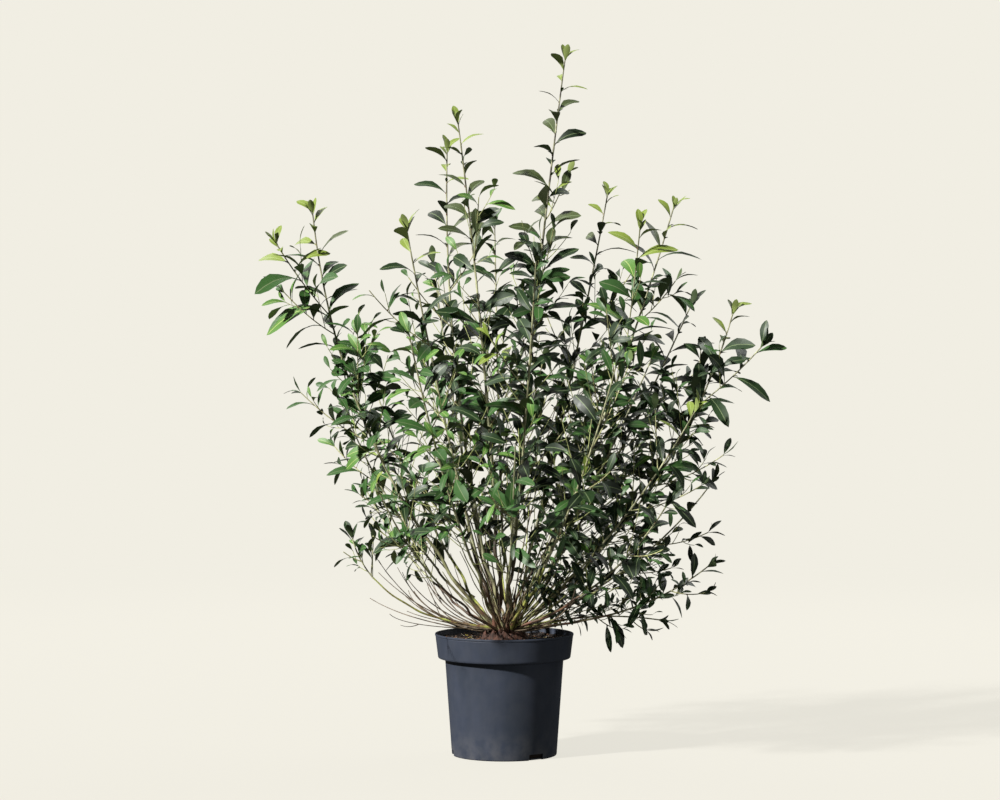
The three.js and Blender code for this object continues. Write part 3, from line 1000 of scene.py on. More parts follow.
class NodeWriter:
    """Adds nodes to a tree and wires them up."""

    def __init__(self, tree: NodeTree) -> None:
        """Keeps the tree that is written."""
        self.tree = tree

    def found(self, kind: str) -> bpy.types.Node:
        """The tree's first node of a type."""
        return next(node for node in self.tree.nodes if node.type == kind)

    def add(self, kind: str, inputs: Inputs | None = None, **settings: object) -> bpy.types.Node:
        """Adds a node.

        Args:
            kind: Blender's name for the node type.
            inputs: Values or output sockets, by input name or number.
            settings: The node's own settings.

        Returns:
            The node.
        """
        node = self.tree.nodes.new(kind)
        for name, value in settings.items():
            setattr(node, name, value)
        self.wire(node, inputs or {})
        return node

    def wire(self, node: bpy.types.Node, inputs: Inputs) -> None:
        """Gives a node's inputs their values, or links them.

        Args:
            node: The node.
            inputs: Values or output sockets, by input name or number.
        """
        for key, value in inputs.items():
            if isinstance(key, int):
                socket = node.inputs[key]
            else:
                socket = next(s for s in node.inputs if s.name == key and s.enabled)
            if isinstance(value, NodeSocket):
                self.tree.links.new(value, socket)
            else:
                socket.default_value = value

    def out(
        self, kind: str, inputs: Inputs | None = None, output: str = "", **settings: object
    ) -> NodeSocket:
        """Adds a node and gives one of its outputs, which is the first unless it is named."""
        node = self.add(kind, inputs, **settings)
        return next(s for s in node.outputs if s.enabled and output in ("", s.name))

    def math(self, operation: str, a: object, b: object = 0.0) -> NodeSocket:
        """A sum, product or the like of two values."""
        return self.out("ShaderNodeMath", {0: a, 1: b}, operation=operation)

    def product(self, value: object, *factors: object) -> NodeSocket:
        """The product of some values."""
        return reduce(lambda a, b: self.math("MULTIPLY", a, b), factors, value)

    def scaled(self, vector: object, factor: object) -> NodeSocket:
        """A vector times a number."""
        return self.out("ShaderNodeVectorMath", {0: vector, "Scale": factor}, operation="SCALE")

    def stretched(self, vector: object, factors: object) -> NodeSocket:
        """A vector times another, each part by itself."""
        return self.out("ShaderNodeVectorMath", {0: vector, 1: factors}, operation="MULTIPLY")

    def summed(self, a: object, b: object) -> NodeSocket:
        """The sum of two vectors."""
        return self.out("ShaderNodeVectorMath", {0: a, 1: b}, operation="ADD")

    def ranged(
        self, value: object, source: Sequence, target: Sequence = (0, 1), **settings: object
    ) -> NodeSocket:
        """A value of one range given in another, and held to it."""
        ends = zip(("From Min", "From Max", "To Min", "To Max"), (*source, *target))
        return self.out("ShaderNodeMapRange", {"Value": value, **dict(ends)}, **settings)

    def blended(self, share: object, a: object, b: object) -> NodeSocket:
        """The colour a share of the way from a to b."""
        return self.out("ShaderNodeMix", {"Factor": share, "A": a, "B": b}, "Result", data_type="RGBA")

    def noise(self, place: object, scale: object, detail: float, **settings: object) -> NodeSocket:
        """A smooth random value at a place."""
        inputs = {"Vector": place, "Scale": scale, "Detail": detail}
        return self.out("ShaderNodeTexNoise", inputs, **settings)

    def end(self, **sockets: NodeSocket) -> NodeTree:
        """Sends the tree's results out of it.

        Args:
            sockets: The socket for each output, by the output's name.

        Returns:
            The tree.
        """
        ends = self.tree.nodes.new("NodeGroupOutput").inputs
        for title, socket in sockets.items():
            self.tree.links.new(socket, ends[title])
        return self.tree


class GeometryTree(NodeWriter):
    """A geometry node tree with named inputs."""

    def __init__(self, name: str, inputs: dict[str, str]) -> None:
        """Starts the tree.

        Args:
            name: The tree's name.
            inputs: Each input's kind by its name, after the geometry.
        """
        super().__init__(bpy.data.node_groups.new(name, "GeometryNodeTree"))
        face = self.tree.interface
        face.new_socket(name="Geometry", in_out="INPUT", socket_type="NodeSocketGeometry")
        self.keys = {
            title: face.new_socket(name=title, in_out="INPUT", socket_type=f"NodeSocket{kind}").identifier
            for title, kind in inputs.items()
        }
        face.new_socket(name="Geometry", in_out="OUTPUT", socket_type="NodeSocketGeometry")
        self.given = self.tree.nodes.new("NodeGroupInput").outputs

    def named(self, title: str, kind: str = "FLOAT") -> NodeSocket:
        """The named attribute of a kind."""
        return self.out("GeometryNodeInputNamedAttribute", {"Name": title}, data_type=kind)

    def copies(self, form: str) -> NodeSocket:
        """Real copies of a form on the points, each with its point's own turn and size.

        Args:
            form: The input that holds the form.

        Returns:
            The copies' socket.
        """
        placed = self.out(
            "GeometryNodeInstanceOnPoints",
            {
                "Points": self.given["Geometry"],
                "Instance": self.out("GeometryNodeObjectInfo", {"Object": self.given[form]}, "Geometry"),
                "Rotation": self.named("turn", "FLOAT_VECTOR"),
                "Scale": self.named("size", "FLOAT_VECTOR"),
            },
        )
        return self.out("GeometryNodeRealizeInstances", {"Geometry": placed})

    def grown(self, name: str, mesh: Mesh, values: dict[str, object]) -> Object:
        """Runs the tree on a mesh.

        Args:
            name: The new piece's name.
            mesh: What the tree reads.
            values: Its inputs, by name.

        Returns:
            The piece, as a plain mesh with no modifier.
        """
        piece = bpy.data.objects.new(name, mesh)
        bpy.context.scene.collection.objects.link(piece)
        modifier = piece.modifiers.new("growth", "NODES")
        modifier.node_group = self.tree
        for title, value in values.items():
            modifier[self.keys[title]] = value
        settle(piece)
        piece.data.name = name
        return piece


def limb_tree() -> GeometryTree:
    """The tree that sweeps limbs along rows of points and raises their bark's relief.

    Returns:
        The tree.
    """
    kinds = {"Sides": "Int", "Relief": "Float", "Relief scale": "Float", "Bark": "Material"}
    tree, relief_stretch = GeometryTree("limb_sweep", kinds), (1.0, 1.0, 0.22)
    given = tree.given
    curve = tree.out("GeometryNodeMeshToCurve", {"Mesh": given["Geometry"]})
    circle = {"Resolution": given["Sides"], "Radius": 1.0}
    ring = tree.out("GeometryNodeCurvePrimitiveCircle", circle, mode="RADIUS")
    swept = tree.out(
        "GeometryNodeCurveToMesh",
        {"Curve": curve, "Profile Curve": ring, "Scale": tree.named("radius"), "Fill Caps": True},
    )
    place = tree.stretched(tree.out("GeometryNodeInputPosition"), relief_stretch)
    rough = tree.noise(place, given["Relief scale"], 3.0, normalize=True)
    depth = tree.product(tree.math("SUBTRACT", rough, 0.5), given["Relief"])
    offset = tree.scaled(tree.out("GeometryNodeInputNormal"), depth)
    carved = tree.out("GeometryNodeSetPosition", {"Geometry": swept, "Offset": offset})
    smooth = tree.out("GeometryNodeSetShadeSmooth", {0: carved, "Shade Smooth": True})
    real = tree.out("GeometryNodeRealizeInstances", {"Geometry": smooth})
    tree.end(Geometry=tree.out("GeometryNodeSetMaterial", {"Geometry": real, "Material": given["Bark"]}))
    return tree


def leaf_tree() -> GeometryTree:
    """The tree that sets leaves on points, then arches, hangs and twists each by its own values.

    Returns:
        The tree.
    """
    tree = GeometryTree("leaf_spray", {"Leaf": "Object", **{part.name: "Material" for part in LeafPart}})
    real = tree.copies("Leaf")
    length = tree.out("ShaderNodeSeparateXYZ", {0: tree.named("size", "FLOAT_VECTOR")}, "Y")
    reach = tree.named("reach")
    bent = tree.product(reach, reach, length)
    arch = tree.product(tree.named("arch"), bent, -1.0)
    wrung = tree.product(tree.named("twist"), reach, length, tree.named("aside"))
    hang = tree.product(tree.named("droop"), bent, -1.0)
    raised = tree.scaled(tree.named("face", "FLOAT_VECTOR"), tree.math("ADD", arch, wrung))
    offset = tree.summed(raised, tree.scaled(tuple(UP), hang))
    shaped = tree.out("GeometryNodeSetPosition", {"Geometry": real, "Offset": offset})
    side = tree.named("side", "INT")
    for part in LeafPart:
        pair = {"A": side, "B": part.value}
        chosen = tree.out("FunctionNodeCompare", pair, data_type="INT", operation="EQUAL")
        dressed = {"Geometry": shaped, "Selection": chosen, "Material": tree.given[part.name]}
        shaped = tree.out("GeometryNodeSetMaterial", dressed)
    tree.end(Geometry=shaped)
    return tree


def scatter_tree() -> GeometryTree:
    """The tree that sets copies of a small form on points.

    Returns:
        The tree.
    """
    tree = GeometryTree("scatter", {"Form": "Object", "Finish": "Material"})
    dressed = {"Geometry": tree.copies("Form"), "Material": tree.given["Finish"]}
    tree.end(Geometry=tree.out("GeometryNodeSetMaterial", dressed))
    return tree


def made_object(name: str, vertices: Sequence, faces: Sequence) -> Object:
    """An object of plain mesh.

    Args:
        name: Its name.
        vertices: Its points, in metres.
        faces: Its faces, as rows of point numbers.

    Returns:
        The object, in the scene.
    """
    mesh = bpy.data.meshes.new(name)
    mesh.from_pydata([tuple(v) for v in vertices], [], [tuple(f) for f in faces])
    mesh.update()
    made = bpy.data.objects.new(name, mesh)
    bpy.context.scene.collection.objects.link(made)
    return made


def settle(piece: Object) -> None:
    """Turns a piece's modifiers into plain mesh.

    Args:
        piece: The piece.
    """
    seen = piece.evaluated_get(bpy.context.evaluated_depsgraph_get())
    made = bpy.data.meshes.new_from_object(seen)
    piece.modifiers.clear()
    old, piece.data = piece.data, made
    bpy.data.meshes.remove(old)


def discard(thing: Object) -> None:
    """Removes a form that has done its work.

    Args:
        thing: The form's object.
    """
    mesh = thing.data
    bpy.data.objects.remove(thing)
    bpy.data.meshes.remove(mesh)


def keep(piece: Object, nodes: Sequence[str] = ()) -> None:
    """Declares a finished piece to the frame.

    Args:
        piece: The piece.
        nodes: The CAD nodes that it stands for.
    """
    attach(piece, BODY)
    if nodes:
        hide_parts(*nodes)
    log.info("%s: %d faces, for %d nodes", piece.name, len(piece.data.polygons), len(nodes))


@dataclass(frozen=True)
class Film:
    """A film of another colour: how much of it there is, where it thins out, and what rests above."""

    colour: Colour
    amount: float
    low: float
    high: float
    scale: float
    rest: float = 0.0


DUST = Film((0.4, 0.37, 0.32, 1.0), amount=0.07, low=0.0, high=0.06, scale=40.0, rest=0.15)
TOP_SHADE = Film(linear(50, 45, 35), amount=1.0, low=1.12, high=0.92, scale=50.0, rest=0.1)
FOOT_STAIN = Film(linear(92, 58, 42), amount=1.0, low=0.265, high=0.37, scale=50.0)


def shader_group(name: str, inputs: dict[str, object], outputs: Sequence[str]) -> NodeWriter:
    """Starts a shader node group.

    Args:
        name: The group's name.
        inputs: Each input's value until a material sets its own: a colour or a number.
        outputs: The names of the outputs, of which the one called Colour is a colour.

    Returns:
        A writer for the group.
    """
    tree = bpy.data.node_groups.new(name, "ShaderNodeTree")
    for title, value in inputs.items():
        kind = "NodeSocketColor" if isinstance(value, tuple) else "NodeSocketFloat"
        tree.interface.new_socket(name=title, in_out="INPUT", socket_type=kind).default_value = value
    for title in outputs:
        kind = "NodeSocketColor" if title == "Colour" else "NodeSocketFloat"
        tree.interface.new_socket(name=title, in_out="OUTPUT", socket_type=kind)
    return NodeWriter(tree)


def grain_group() -> NodeTree:
    """The shared grain: two colours mottled over the surface, with a height to match.

    Returns:
        The group.
    """
    group = shader_group(
        "grain",
        {
            "Colour": (0.5, 0.5, 0.5, 1.0),
            "Second colour": (0.2, 0.2, 0.2, 1.0),
            "Scale": 100.0,
            "Along": 1.0,
            "Rough low": 0.4,
            "Rough high": 0.6,
        },
        ("Colour", "Height", "Roughness"),
    )
    fineness, mottled, fine_range, shares = 6.0, (0.35, 0.65), (0.3, 0.7), (0.7, 0.3)
    given = group.add("NodeGroupInput").outputs
    place = group.out("ShaderNodeTexCoord", None, "Object")
    place = group.stretched(place, group.out("ShaderNodeCombineXYZ", {0: 1.0, 1: 1.0, 2: given["Along"]}))
    coarse = group.noise(place, given["Scale"], 5.0)
    fine = group.noise(place, group.product(given["Scale"], fineness), 2.0)
    height = group.math("ADD", group.product(coarse, shares[0]), group.product(fine, shares[1]))
    blend = group.ranged(coarse, mottled)
    return group.end(
        Colour=group.blended(blend, given["Colour"], given["Second colour"]),
        Height=height,
        Roughness=group.ranged(fine, fine_range, (given["Rough low"], given["Rough high"])),
    )


def film_group() -> NodeTree:
    """The shared film: another colour that lies in patches, and thins out between two heights.

    Returns:
        The group.
    """
    group = shader_group("film", {"under": (0.5, 0.5, 0.5, 1.0), **vars(DUST)}, ("Colour",))
    patchy = (0.36, 0.62)
    given = group.add("NodeGroupInput").outputs
    place = group.out("ShaderNodeTexCoord", None, "Object")
    height = group.out("ShaderNodeSeparateXYZ", {0: place}, "Z")
    low = group.ranged(height, (given["low"], given["high"]), (1.0, given["rest"]))
    patches = group.ranged(group.noise(place, given["scale"], 6.0), patchy)
    amount = group.product(low, patches, given["amount"])
    return group.end(Colour=group.blended(amount, given["under"], given["colour"]))


def new_material(name: str) -> tuple[Material, NodeWriter, bpy.types.Node]:
    """Starts a material.

    Args:
        name: Its name.

    Returns:
        The material, a writer for its nodes, and its shader.
    """
    material = bpy.data.materials.new(name)
    material.use_nodes = True
    writer = NodeWriter(material.node_tree)
    return material, writer, writer.found("BSDF_PRINCIPLED")


@dataclass(frozen=True)
class Workshop:
    """What all share: two shader groups, two geometry trees, the grown plant and its masses' nodes."""

    grain: NodeTree
    film: NodeTree
    limbs: GeometryTree
    scatter: GeometryTree
    growth: Growth
    masses: list[str]


@dataclass(frozen=True)
class Finish:
    """A finish with fine relief: two mottled colours, or a plain one where the second is None."""

    name: str
    colour: Colour
    second: Colour | None
    scale: float
    along: float = 1.0
    rough: Range = (0.55, 0.8)
    relief: float = 0.3
    depth: float = 0.0004
    shine: float = 0.5
    film: Film | None = None

    def made(self, shop: Workshop) -> Material:
        """Builds the material from the shared groups.

        Args:
            shop: What all share.

        Returns:
            The material.
        """
        material, writer, shader = new_material(self.name)
        inputs = {
            "Colour": self.colour,
            "Second colour": self.second or self.colour,
            "Scale": self.scale,
            "Along": self.along,
            "Rough low": self.rough[0],
            "Rough high": self.rough[1],
        }
        grain = writer.add("ShaderNodeGroup", inputs, node_tree=shop.grain).outputs
        colour = grain["Colour"]
        if self.film:
            inputs = {"under": colour, **vars(self.film)}
            colour = writer.out("ShaderNodeGroup", inputs, node_tree=shop.film)
        relief = {"Height": grain["Height"], "Strength": self.relief, "Distance": self.depth}
        looks = {
            "Base Color": colour if self.second else self.colour,
            "Roughness": grain["Roughness"],
            "Normal": writer.out("ShaderNodeBump", relief),
            "Specular IOR Level": self.shine,
        }
        writer.wire(shader, looks)
        return material


def leaf_finish(name: str, colour: Colour, rough: Range, shine: float = 0.3) -> Finish:
    """A plain colour on a leaf, with a waxy roughness and fine relief."""
    return Finish(f"leaf_{name}", colour, None, scale=22.0, rough=rough, relief=0.12, shine=shine)


def bark_finish(
    name: str, colour: Colour, second: Colour, scale: float, along: float = 0.4, film: Film | None = None
) -> Finish:
    """The bark of a stem or a shoot, mottled lengthwise."""
    return Finish(f"bark_{name}", colour, second, scale, along, film=film)


# The upper side and the underside of the leaves of each tint: from deep to fresh, darker and lighter copies
# of one green as painted shade and light, and partly the leaves' age
LEAF_COLOURS = {
    Tint.DEEP: (linear(15, 28, 12), linear(50, 62, 38)),
    Tint.DARK: (linear(25, 44, 19), linear(62, 76, 46)),
    Tint.GREEN: (linear(42, 73, 31), linear(84, 101, 60)),
    Tint.FRESH: (linear(68, 102, 42), linear(116, 136, 80)),
    Tint.YOUNG: (linear(100, 116, 46), linear(118, 132, 74)),
    Tint.OLIVE: (linear(54, 64, 34), linear(94, 102, 70)),
}
UPPER_SIDES = {
    tint: leaf_finish(tint.value, colour, (0.44, 0.54)) for tint, (colour, _) in LEAF_COLOURS.items()
}
UNDERSIDES = {
    tint: leaf_finish(f"underside_{tint.value}", colour, (0.5, 0.65), 0.25)
    for tint, (_, colour) in LEAF_COLOURS.items()
}
MIDRIB = leaf_finish("midrib", linear(84, 98, 66), (0.45, 0.6))
# The paler midrib of the fresh and young leaves, partly painted light like their tints
YOUNG_MIDRIB = leaf_finish("midrib_young", linear(126, 140, 82), (0.45, 0.6))

STEM_BARKS = {
    Bark.BROWN: bark_finish("brown", linear(94, 80, 60), linear(48, 40, 32), 90, 0.35, FOOT_STAIN),
    Bark.OLIVE: bark_finish("olive", linear(132, 134, 94), linear(76, 74, 52), 90, 0.35, FOOT_STAIN),
    Bark.LIME: bark_finish("lime", linear(156, 166, 76), linear(100, 104, 50), 90, 0.35, FOOT_STAIN),
}
BASAL_BARKS = {
    Bark.BROWN: bark_finish("basal_brown", linear(94, 82, 62), linear(50, 42, 34), 130, film=FOOT_STAIN),
    Bark.OLIVE: bark_finish("basal_olive", linear(146, 150, 108), linear(88, 86, 60), 130, film=FOOT_STAIN),
    Bark.LIME: bark_finish("basal_lime", linear(164, 174, 78), linear(108, 112, 52), 130, film=FOOT_STAIN),
}
SHOOT_BARKS = {
    Rank.LEADER: Finish(
        "bark_leading_shoot", linear(160, 162, 126), linear(94, 92, 68), 120, 0.4, (0.4, 0.6), film=TOP_SHADE
    ),
    Rank.TWIG: bark_finish("twig", linear(160, 164, 112), linear(104, 100, 68), 150),
    Rank.SPUR: bark_finish("spur", linear(146, 154, 94), linear(104, 106, 62), 150),
    Rank.SUCKER: bark_finish("sucker", linear(132, 138, 76), linear(92, 84, 52), 150),
}
BARE_BARK = bark_finish("bare_twiglet", linear(102, 88, 68), linear(62, 50, 38), 140)
ROOT_BARK = Finish(
    "bark_root_crown", linear(72, 46, 35), linear(26, 19, 16), 120, 0.6, (0.7, 0.95), 0.8, 0.002, 0.3
)
BUD_SCALE = Finish("bud_scale", linear(98, 52, 36), linear(64, 34, 26), 300, rough=(0.35, 0.5))
POT_PLASTIC = Finish(
    "pot_anthracite", linear(45, 50, 61), linear(40, 45, 54), 26, 0.3, (0.48, 0.62), 0.12, 0.0004, 0.1, DUST
)
MIX_PEAT = Finish("mix_peat", linear(38, 29, 24), linear(17, 13, 11), 170, 1.0, (0.85, 1.0), 0.9, 0.003, 0.25)
CRUMB_DARK = Finish("mix_crumb_dark", linear(52, 40, 32), linear(28, 21, 17), 300, rough=(0.85, 1.0))
CRUMB_BARK = Finish("mix_crumb_bark", linear(122, 84, 56), linear(78, 52, 36), 260, 0.5, (0.75, 0.95))
CRUMB_PALE = Finish("mix_crumb_pale", linear(206, 200, 184), linear(168, 158, 140), 260, rough=(0.7, 0.9))
CRUMB_LEAF = Finish("mix_fallen_leaf", linear(186, 170, 72), linear(140, 112, 52), 220, rough=(0.6, 0.8))


@dataclass
class SubAssembly:
    """A part of the whole, with the workshop that it is built in."""

    shop: Workshop


def ring_faces(rows: int, sides: int) -> list[tuple[int, ...]]:
    """The faces of a closed form: one end point, rings of points, and the other end point.

    Args:
        rows: How many rings there are.
        sides: How many points each ring has.

    Returns:
        The faces, as rows of point numbers.
    """
    faces, last = [], 1 + rows * sides
    for k in range(sides):
        after = (k + 1) % sides
        faces.append((0, 1 + after, 1 + k))
        for row in range(rows - 1):
            low, high = 1 + row * sides, 1 + (row + 1) * sides
            faces.append((low + k, low + after, high + after, high + k))
        top = last - sides
        faces.append((top + k, top + after, last))
    return faces


def turned(name: str, profile: Sequence[Range], sides: int) -> Object:
    """A closed solid of revolution about Z.

    Args:
        name: Its name.
        profile: Radius and height of each ring in millimetres, outwards from the axis at the
            bottom and back to it at the top.
        sides: How many faces go round.

    Returns:
        The object.
    """
    points = [(0.0, 0.0, profile[0][1] * MM)]
    for radius, height in profile[1:-1]:
        for k in range(sides):
            angle = 2 * math.pi * k / sides
            ring = (radius * math.cos(angle), radius * math.sin(angle), height)
            points.append(tuple(value * MM for value in ring))
    points.append((0.0, 0.0, profile[-1][1] * MM))
    return made_object(name, points, ring_faces(len(profile) - 2, sides))


def lump(name: str, rows: int, sides: int, unevenness: float, grain: float = 3.1) -> Object:
    """A closed uneven ball of one unit across, with few faces.

    Args:
        name: Its name.
        rows: How many rings it has.
        sides: How many points each ring has.
        unevenness: How far its points stray.
        grain: How quickly they stray to and fro.

    Returns:
        The object.
    """
    points = [Vector((0, 0, -0.5))]
    for row in range(rows):
        slope = math.pi * ((row + 1) / (rows + 1) - 0.5)
        for k in range(sides):
            angle = 2 * math.pi * (k + 0.5 * (row % 2)) / sides
            across = math.cos(slope)
            ring = Vector((math.cos(angle) * across, math.sin(angle) * across, math.sin(slope)))
            stray = noise.noise(ring * grain + Vector((rows, sides, 0)))
            points.append(ring * 0.5 * (1 + unevenness * stray))
    points.append(Vector((0, 0, 0.5)))
    return made_object(name, points, ring_faces(rows, sides))


def rough_height(x: float, y: float, scale: float, depth: float, layer: float = 7.3) -> float:
    """A smooth random height at a place, between plus and minus a depth or so."""
    return noise.noise(Vector((x * scale, y * scale, layer))) * depth


@dataclass
class NurseryPot(SubAssembly):
    """The round nursery pot: its sizes in millimetres, as in the part's source.

    Each edge is a row of steps in radius and height from the corner that it rounds.
    """

    base_radius: float = 106.0
    shoulder_radius: float = 119.5
    shoulder_height: float = 196.0
    collar_foot_radius: float = 134.0
    wall: float = 2.4
    floor: float = 3.0
    lip_height: float = 5.0
    lip_depth: float = 1.1
    base_edge: Ranges = ((-8, 0), (-2.4, 0), (-1.1, 0.5), (-0.4, 1.3))
    body_heights: Range = (3.0, -2)
    body_rings: int = 9
    shoulder_edge: Ranges = ((0.6, -0.6), (2.4, 0))
    collar_foot_edge: Ranges = ((-3.4, 0), (-1.4, 0.7), (-0.3, 2.2))
    collar_heights: Range = (4, -1)
    collar_rings: tuple[float, ...] = (0.03, 0.5, 1)
    lip_edge: Ranges = ((-0.2, 1.0), (0, 1.9))
    lip_step: float = 0.5
    top_edge: Ranges = ((0, -1.4), (-0.4, -0.4), (-1.2, 0), (-2.0, -0.3))
    inside: Ranges = ((0, -1.2), (0.4, 6.0), (-2, 3.0), (0, 1.0), (0, 3), (-2.5, 0))
    sides: int = 120
    notch: Triple = (34.0, 12.0, 16.0)
    notch_angles: tuple[float, ...] = (-53.0, 67.0, 187.0)
    sharp_angle: float = 32.0

    def profile(self) -> list[Range]:
        """The wall's outline, from the middle of the underside round to the middle of the floor.

        Returns:
            Its points, each a radius and a height.
        """
        top, ledge = POT_HEIGHT, self.shoulder_height
        lip = top - self.lip_height
        base, shoulder = self.base_radius, self.shoulder_radius
        foot, rim = self.collar_foot_radius, RIM_RADIUS

        def edge(radius: float, height: float, steps: Sequence[Range]) -> list[Range]:
            """An edge's points."""
            return [(radius + out, height + up) for out, up in steps]

        low, high = self.body_heights
        body = [
            (mix(base, shoulder, share), mix(low, ledge + high, share))
            for share in np.linspace(0, 1, self.body_rings)
        ]
        low, high = self.collar_heights
        collar = [
            (mix(foot, rim - self.lip_depth, share), mix(ledge + low, lip + high, share))
            for share in self.collar_rings
        ]
        corners = ((rim, top), (foot, ledge), (foot, ledge), (shoulder, ledge), (base, self.floor))
        inner = [
            (radius + out - self.wall, height + up)
            for (radius, height), (out, up) in zip((*corners, corners[-1]), self.inside)
        ]
        return [
            (0, 0),
            *edge(base, 0, self.base_edge),
            *body,
            *edge(shoulder, ledge, self.shoulder_edge),
            *edge(foot, ledge, self.collar_foot_edge),
            *collar,
            (rim - self.lip_depth - self.lip_step, lip),
            *edge(rim, lip, self.lip_edge),
            *edge(rim, top, self.top_edge),
            *inner,
            (0, self.floor),
        ]

    def cutter(self, degrees: float) -> Object:
        """A block that cuts one drainage notch.

        Args:
            degrees: The notch's angle round the pot.

        Returns:
            The block.
        """
        width, height, depth = self.notch
        out = level(math.radians(degrees))
        side = np.array((-out[1], out[0], 0.0))
        corners = [
            (out * (self.base_radius + a * depth / 2) + side * b * width / 2 + UP * c) * MM
            for c in (-height, height)
            for a, b in ((-1, -1), (1, -1), (1, 1), (-1, 1))
        ]
        faces = [(3, 2, 1, 0), (4, 5, 6, 7), (0, 1, 5, 4), (1, 2, 6, 5), (2, 3, 7, 6), (3, 0, 4, 7)]
        return made_object("notch_cutter", corners, faces)

    def build(self) -> None:
        """Turns the wall, cuts the drainage notches and dresses it."""
        pot = turned("pot_shell", self.profile(), self.sides)
        cutters = [self.cutter(degrees) for degrees in self.notch_angles]
        for cutter in cutters:
            cut = pot.modifiers.new("notch", "BOOLEAN")
            cut.object, cut.solver, cut.operation = cutter, "EXACT", "DIFFERENCE"
        settle(pot)
        for cutter in cutters:
            discard(cutter)
        pot.data.shade_smooth()
        pot.data.set_sharp_from_angle(angle=math.radians(self.sharp_angle))
        pot.data.materials.clear()
        pot.data.materials.append(POT_PLASTIC.made(self.shop))
        keep(pot, ["pot"])


@dataclass(frozen=True)
class Crumbs:
    """One kind of crumb on the mix: its share of them all, its sizes in millimetres, its flatness."""

    name: str
    finish: Finish
    long: bool
    share: float
    sizes: Range
    flat: float


@dataclass
class PottingMix(SubAssembly):
    """The potting mix that fills the pot, with crumbs, bark and fallen leaves on top."""

    outline: Ranges = (
        *((0, 3.3), (100, 3.3), (103, 9), (116.5, 196), (130, 201)),
        *((MIX_WALL_RADIUS, 226), (MIX_WALL_RADIUS - 0.4, 229)),
    )
    surface_from: float = 228.0
    surface_radii: Range = (MIX_WALL_RADIUS - 3, 4)
    surface_rings: int = 32
    sides: int = 96
    settling: float = 2.0
    mound: float = 5.0
    mound_radius: float = 100.0
    bank: float = 5.5
    bank_radius: float = 108.0
    bank_width: float = 27.0
    waves: Ranges = ((0.045, 3.0), (0.17, 1.4))
    crumbs: int = 1500
    seed: int = 61
    crumbs_from: float = 48.0
    off_wall: float = 0.6
    sunk: float = 0.15
    tilt: Range = (-0.3, 0.3)
    widths: Range = (0.6, 1.0)
    kinds: tuple[Crumbs, ...] = (
        Crumbs("mix_crumbs_dark", CRUMB_DARK, False, 0.66, (1.6, 5.0), 0.75),
        Crumbs("mix_crumbs_bark", CRUMB_BARK, True, 0.2, (3.0, 10.0), 0.4),
        Crumbs("mix_crumbs_pale", CRUMB_PALE, False, 0.12, (1.0, 2.4), 0.8),
        Crumbs("mix_fallen_leaves", CRUMB_LEAF, True, 0.02, (5.0, 13.0), 0.16),
    )

    def height(self, x: float, y: float) -> float:
        """How high the mix stands at a place: mounded in the middle, and banked at the wall.

        Args:
            x: The place's x in millimetres.
            y: Its y.

        Returns:
            The height in millimetres.
        """
        radius = math.hypot(x, y)
        rise = self.mound * max(0.0, 1 - (radius / self.mound_radius) ** 2)
        bank = self.bank * max(0.0, (radius - self.bank_radius) / self.bank_width) ** 2
        height = MIX_HEIGHT - self.settling + rise + bank
        for scale, depth in self.waves:
            height += rough_height(x, y, scale, depth)
        return height

    def build(self) -> None:
        """Builds the bed and what lies on it."""
        radii = np.linspace(*self.surface_radii, self.surface_rings)
        profile = [*self.outline, *((radius, MIX_HEIGHT) for radius in radii), (0, MIX_HEIGHT)]
        bed = turned("mix_bed", profile, self.sides)
        for vertex in bed.data.vertices:
            x, y, z = (value / MM for value in vertex.co)
            if z > self.surface_from:
                vertex.co.z = self.height(x, y) * MM
        bed.data.shade_smooth()
        bed.data.materials.append(MIX_PEAT.made(self.shop))
        keep(bed, ["potting_mix"])
        forms = {False: lump("crumb_form", 3, 6, 0.16), True: lump("flake_form", 2, 7, 0.26)}
        for number, kind in enumerate(self.kinds, 1):
            points = self.places(kind, Draws(self.seed + number)).points(f"{kind.name}_places")
            values = {"Form": forms[kind.long], "Finish": kind.finish.made(self.shop)}
            keep(self.shop.scatter.grown(kind.name, points, values))
        for form in forms.values():
            discard(form)

    def places(self, kind: Crumbs, draws: Draws) -> Placings:
        """Deals crumbs out over the mix, between the root crown and the wall.

        Args:
            kind: The kind of crumb.
            draws: Random numbers.

        Returns:
            Their places.
        """
        places = Placings()
        for _ in range(int(self.crumbs * kind.share)):
            size = mix(*kind.sizes, draws() ** 2)
            most = MIX_WALL_RADIUS - size * self.off_wall
            radius, angle = math.sqrt(mix(self.crumbs_from**2, most**2, draws())), draws.turn()
            x, y = radius * math.cos(angle), radius * math.sin(angle)
            spin = draws.turn()
            along = unit(np.array((math.cos(spin), math.sin(spin), draws.between(*self.tilt))))
            face = UP + np.array((draws.between(*self.tilt), draws.between(*self.tilt), 0))
            spot = np.array((x, y, self.height(x, y) + size * kind.flat * self.sunk))
            width = size * draws.between(*self.widths)
            places.add(spot, along, flattened(face, along), (width, size, size * kind.flat))
        return places


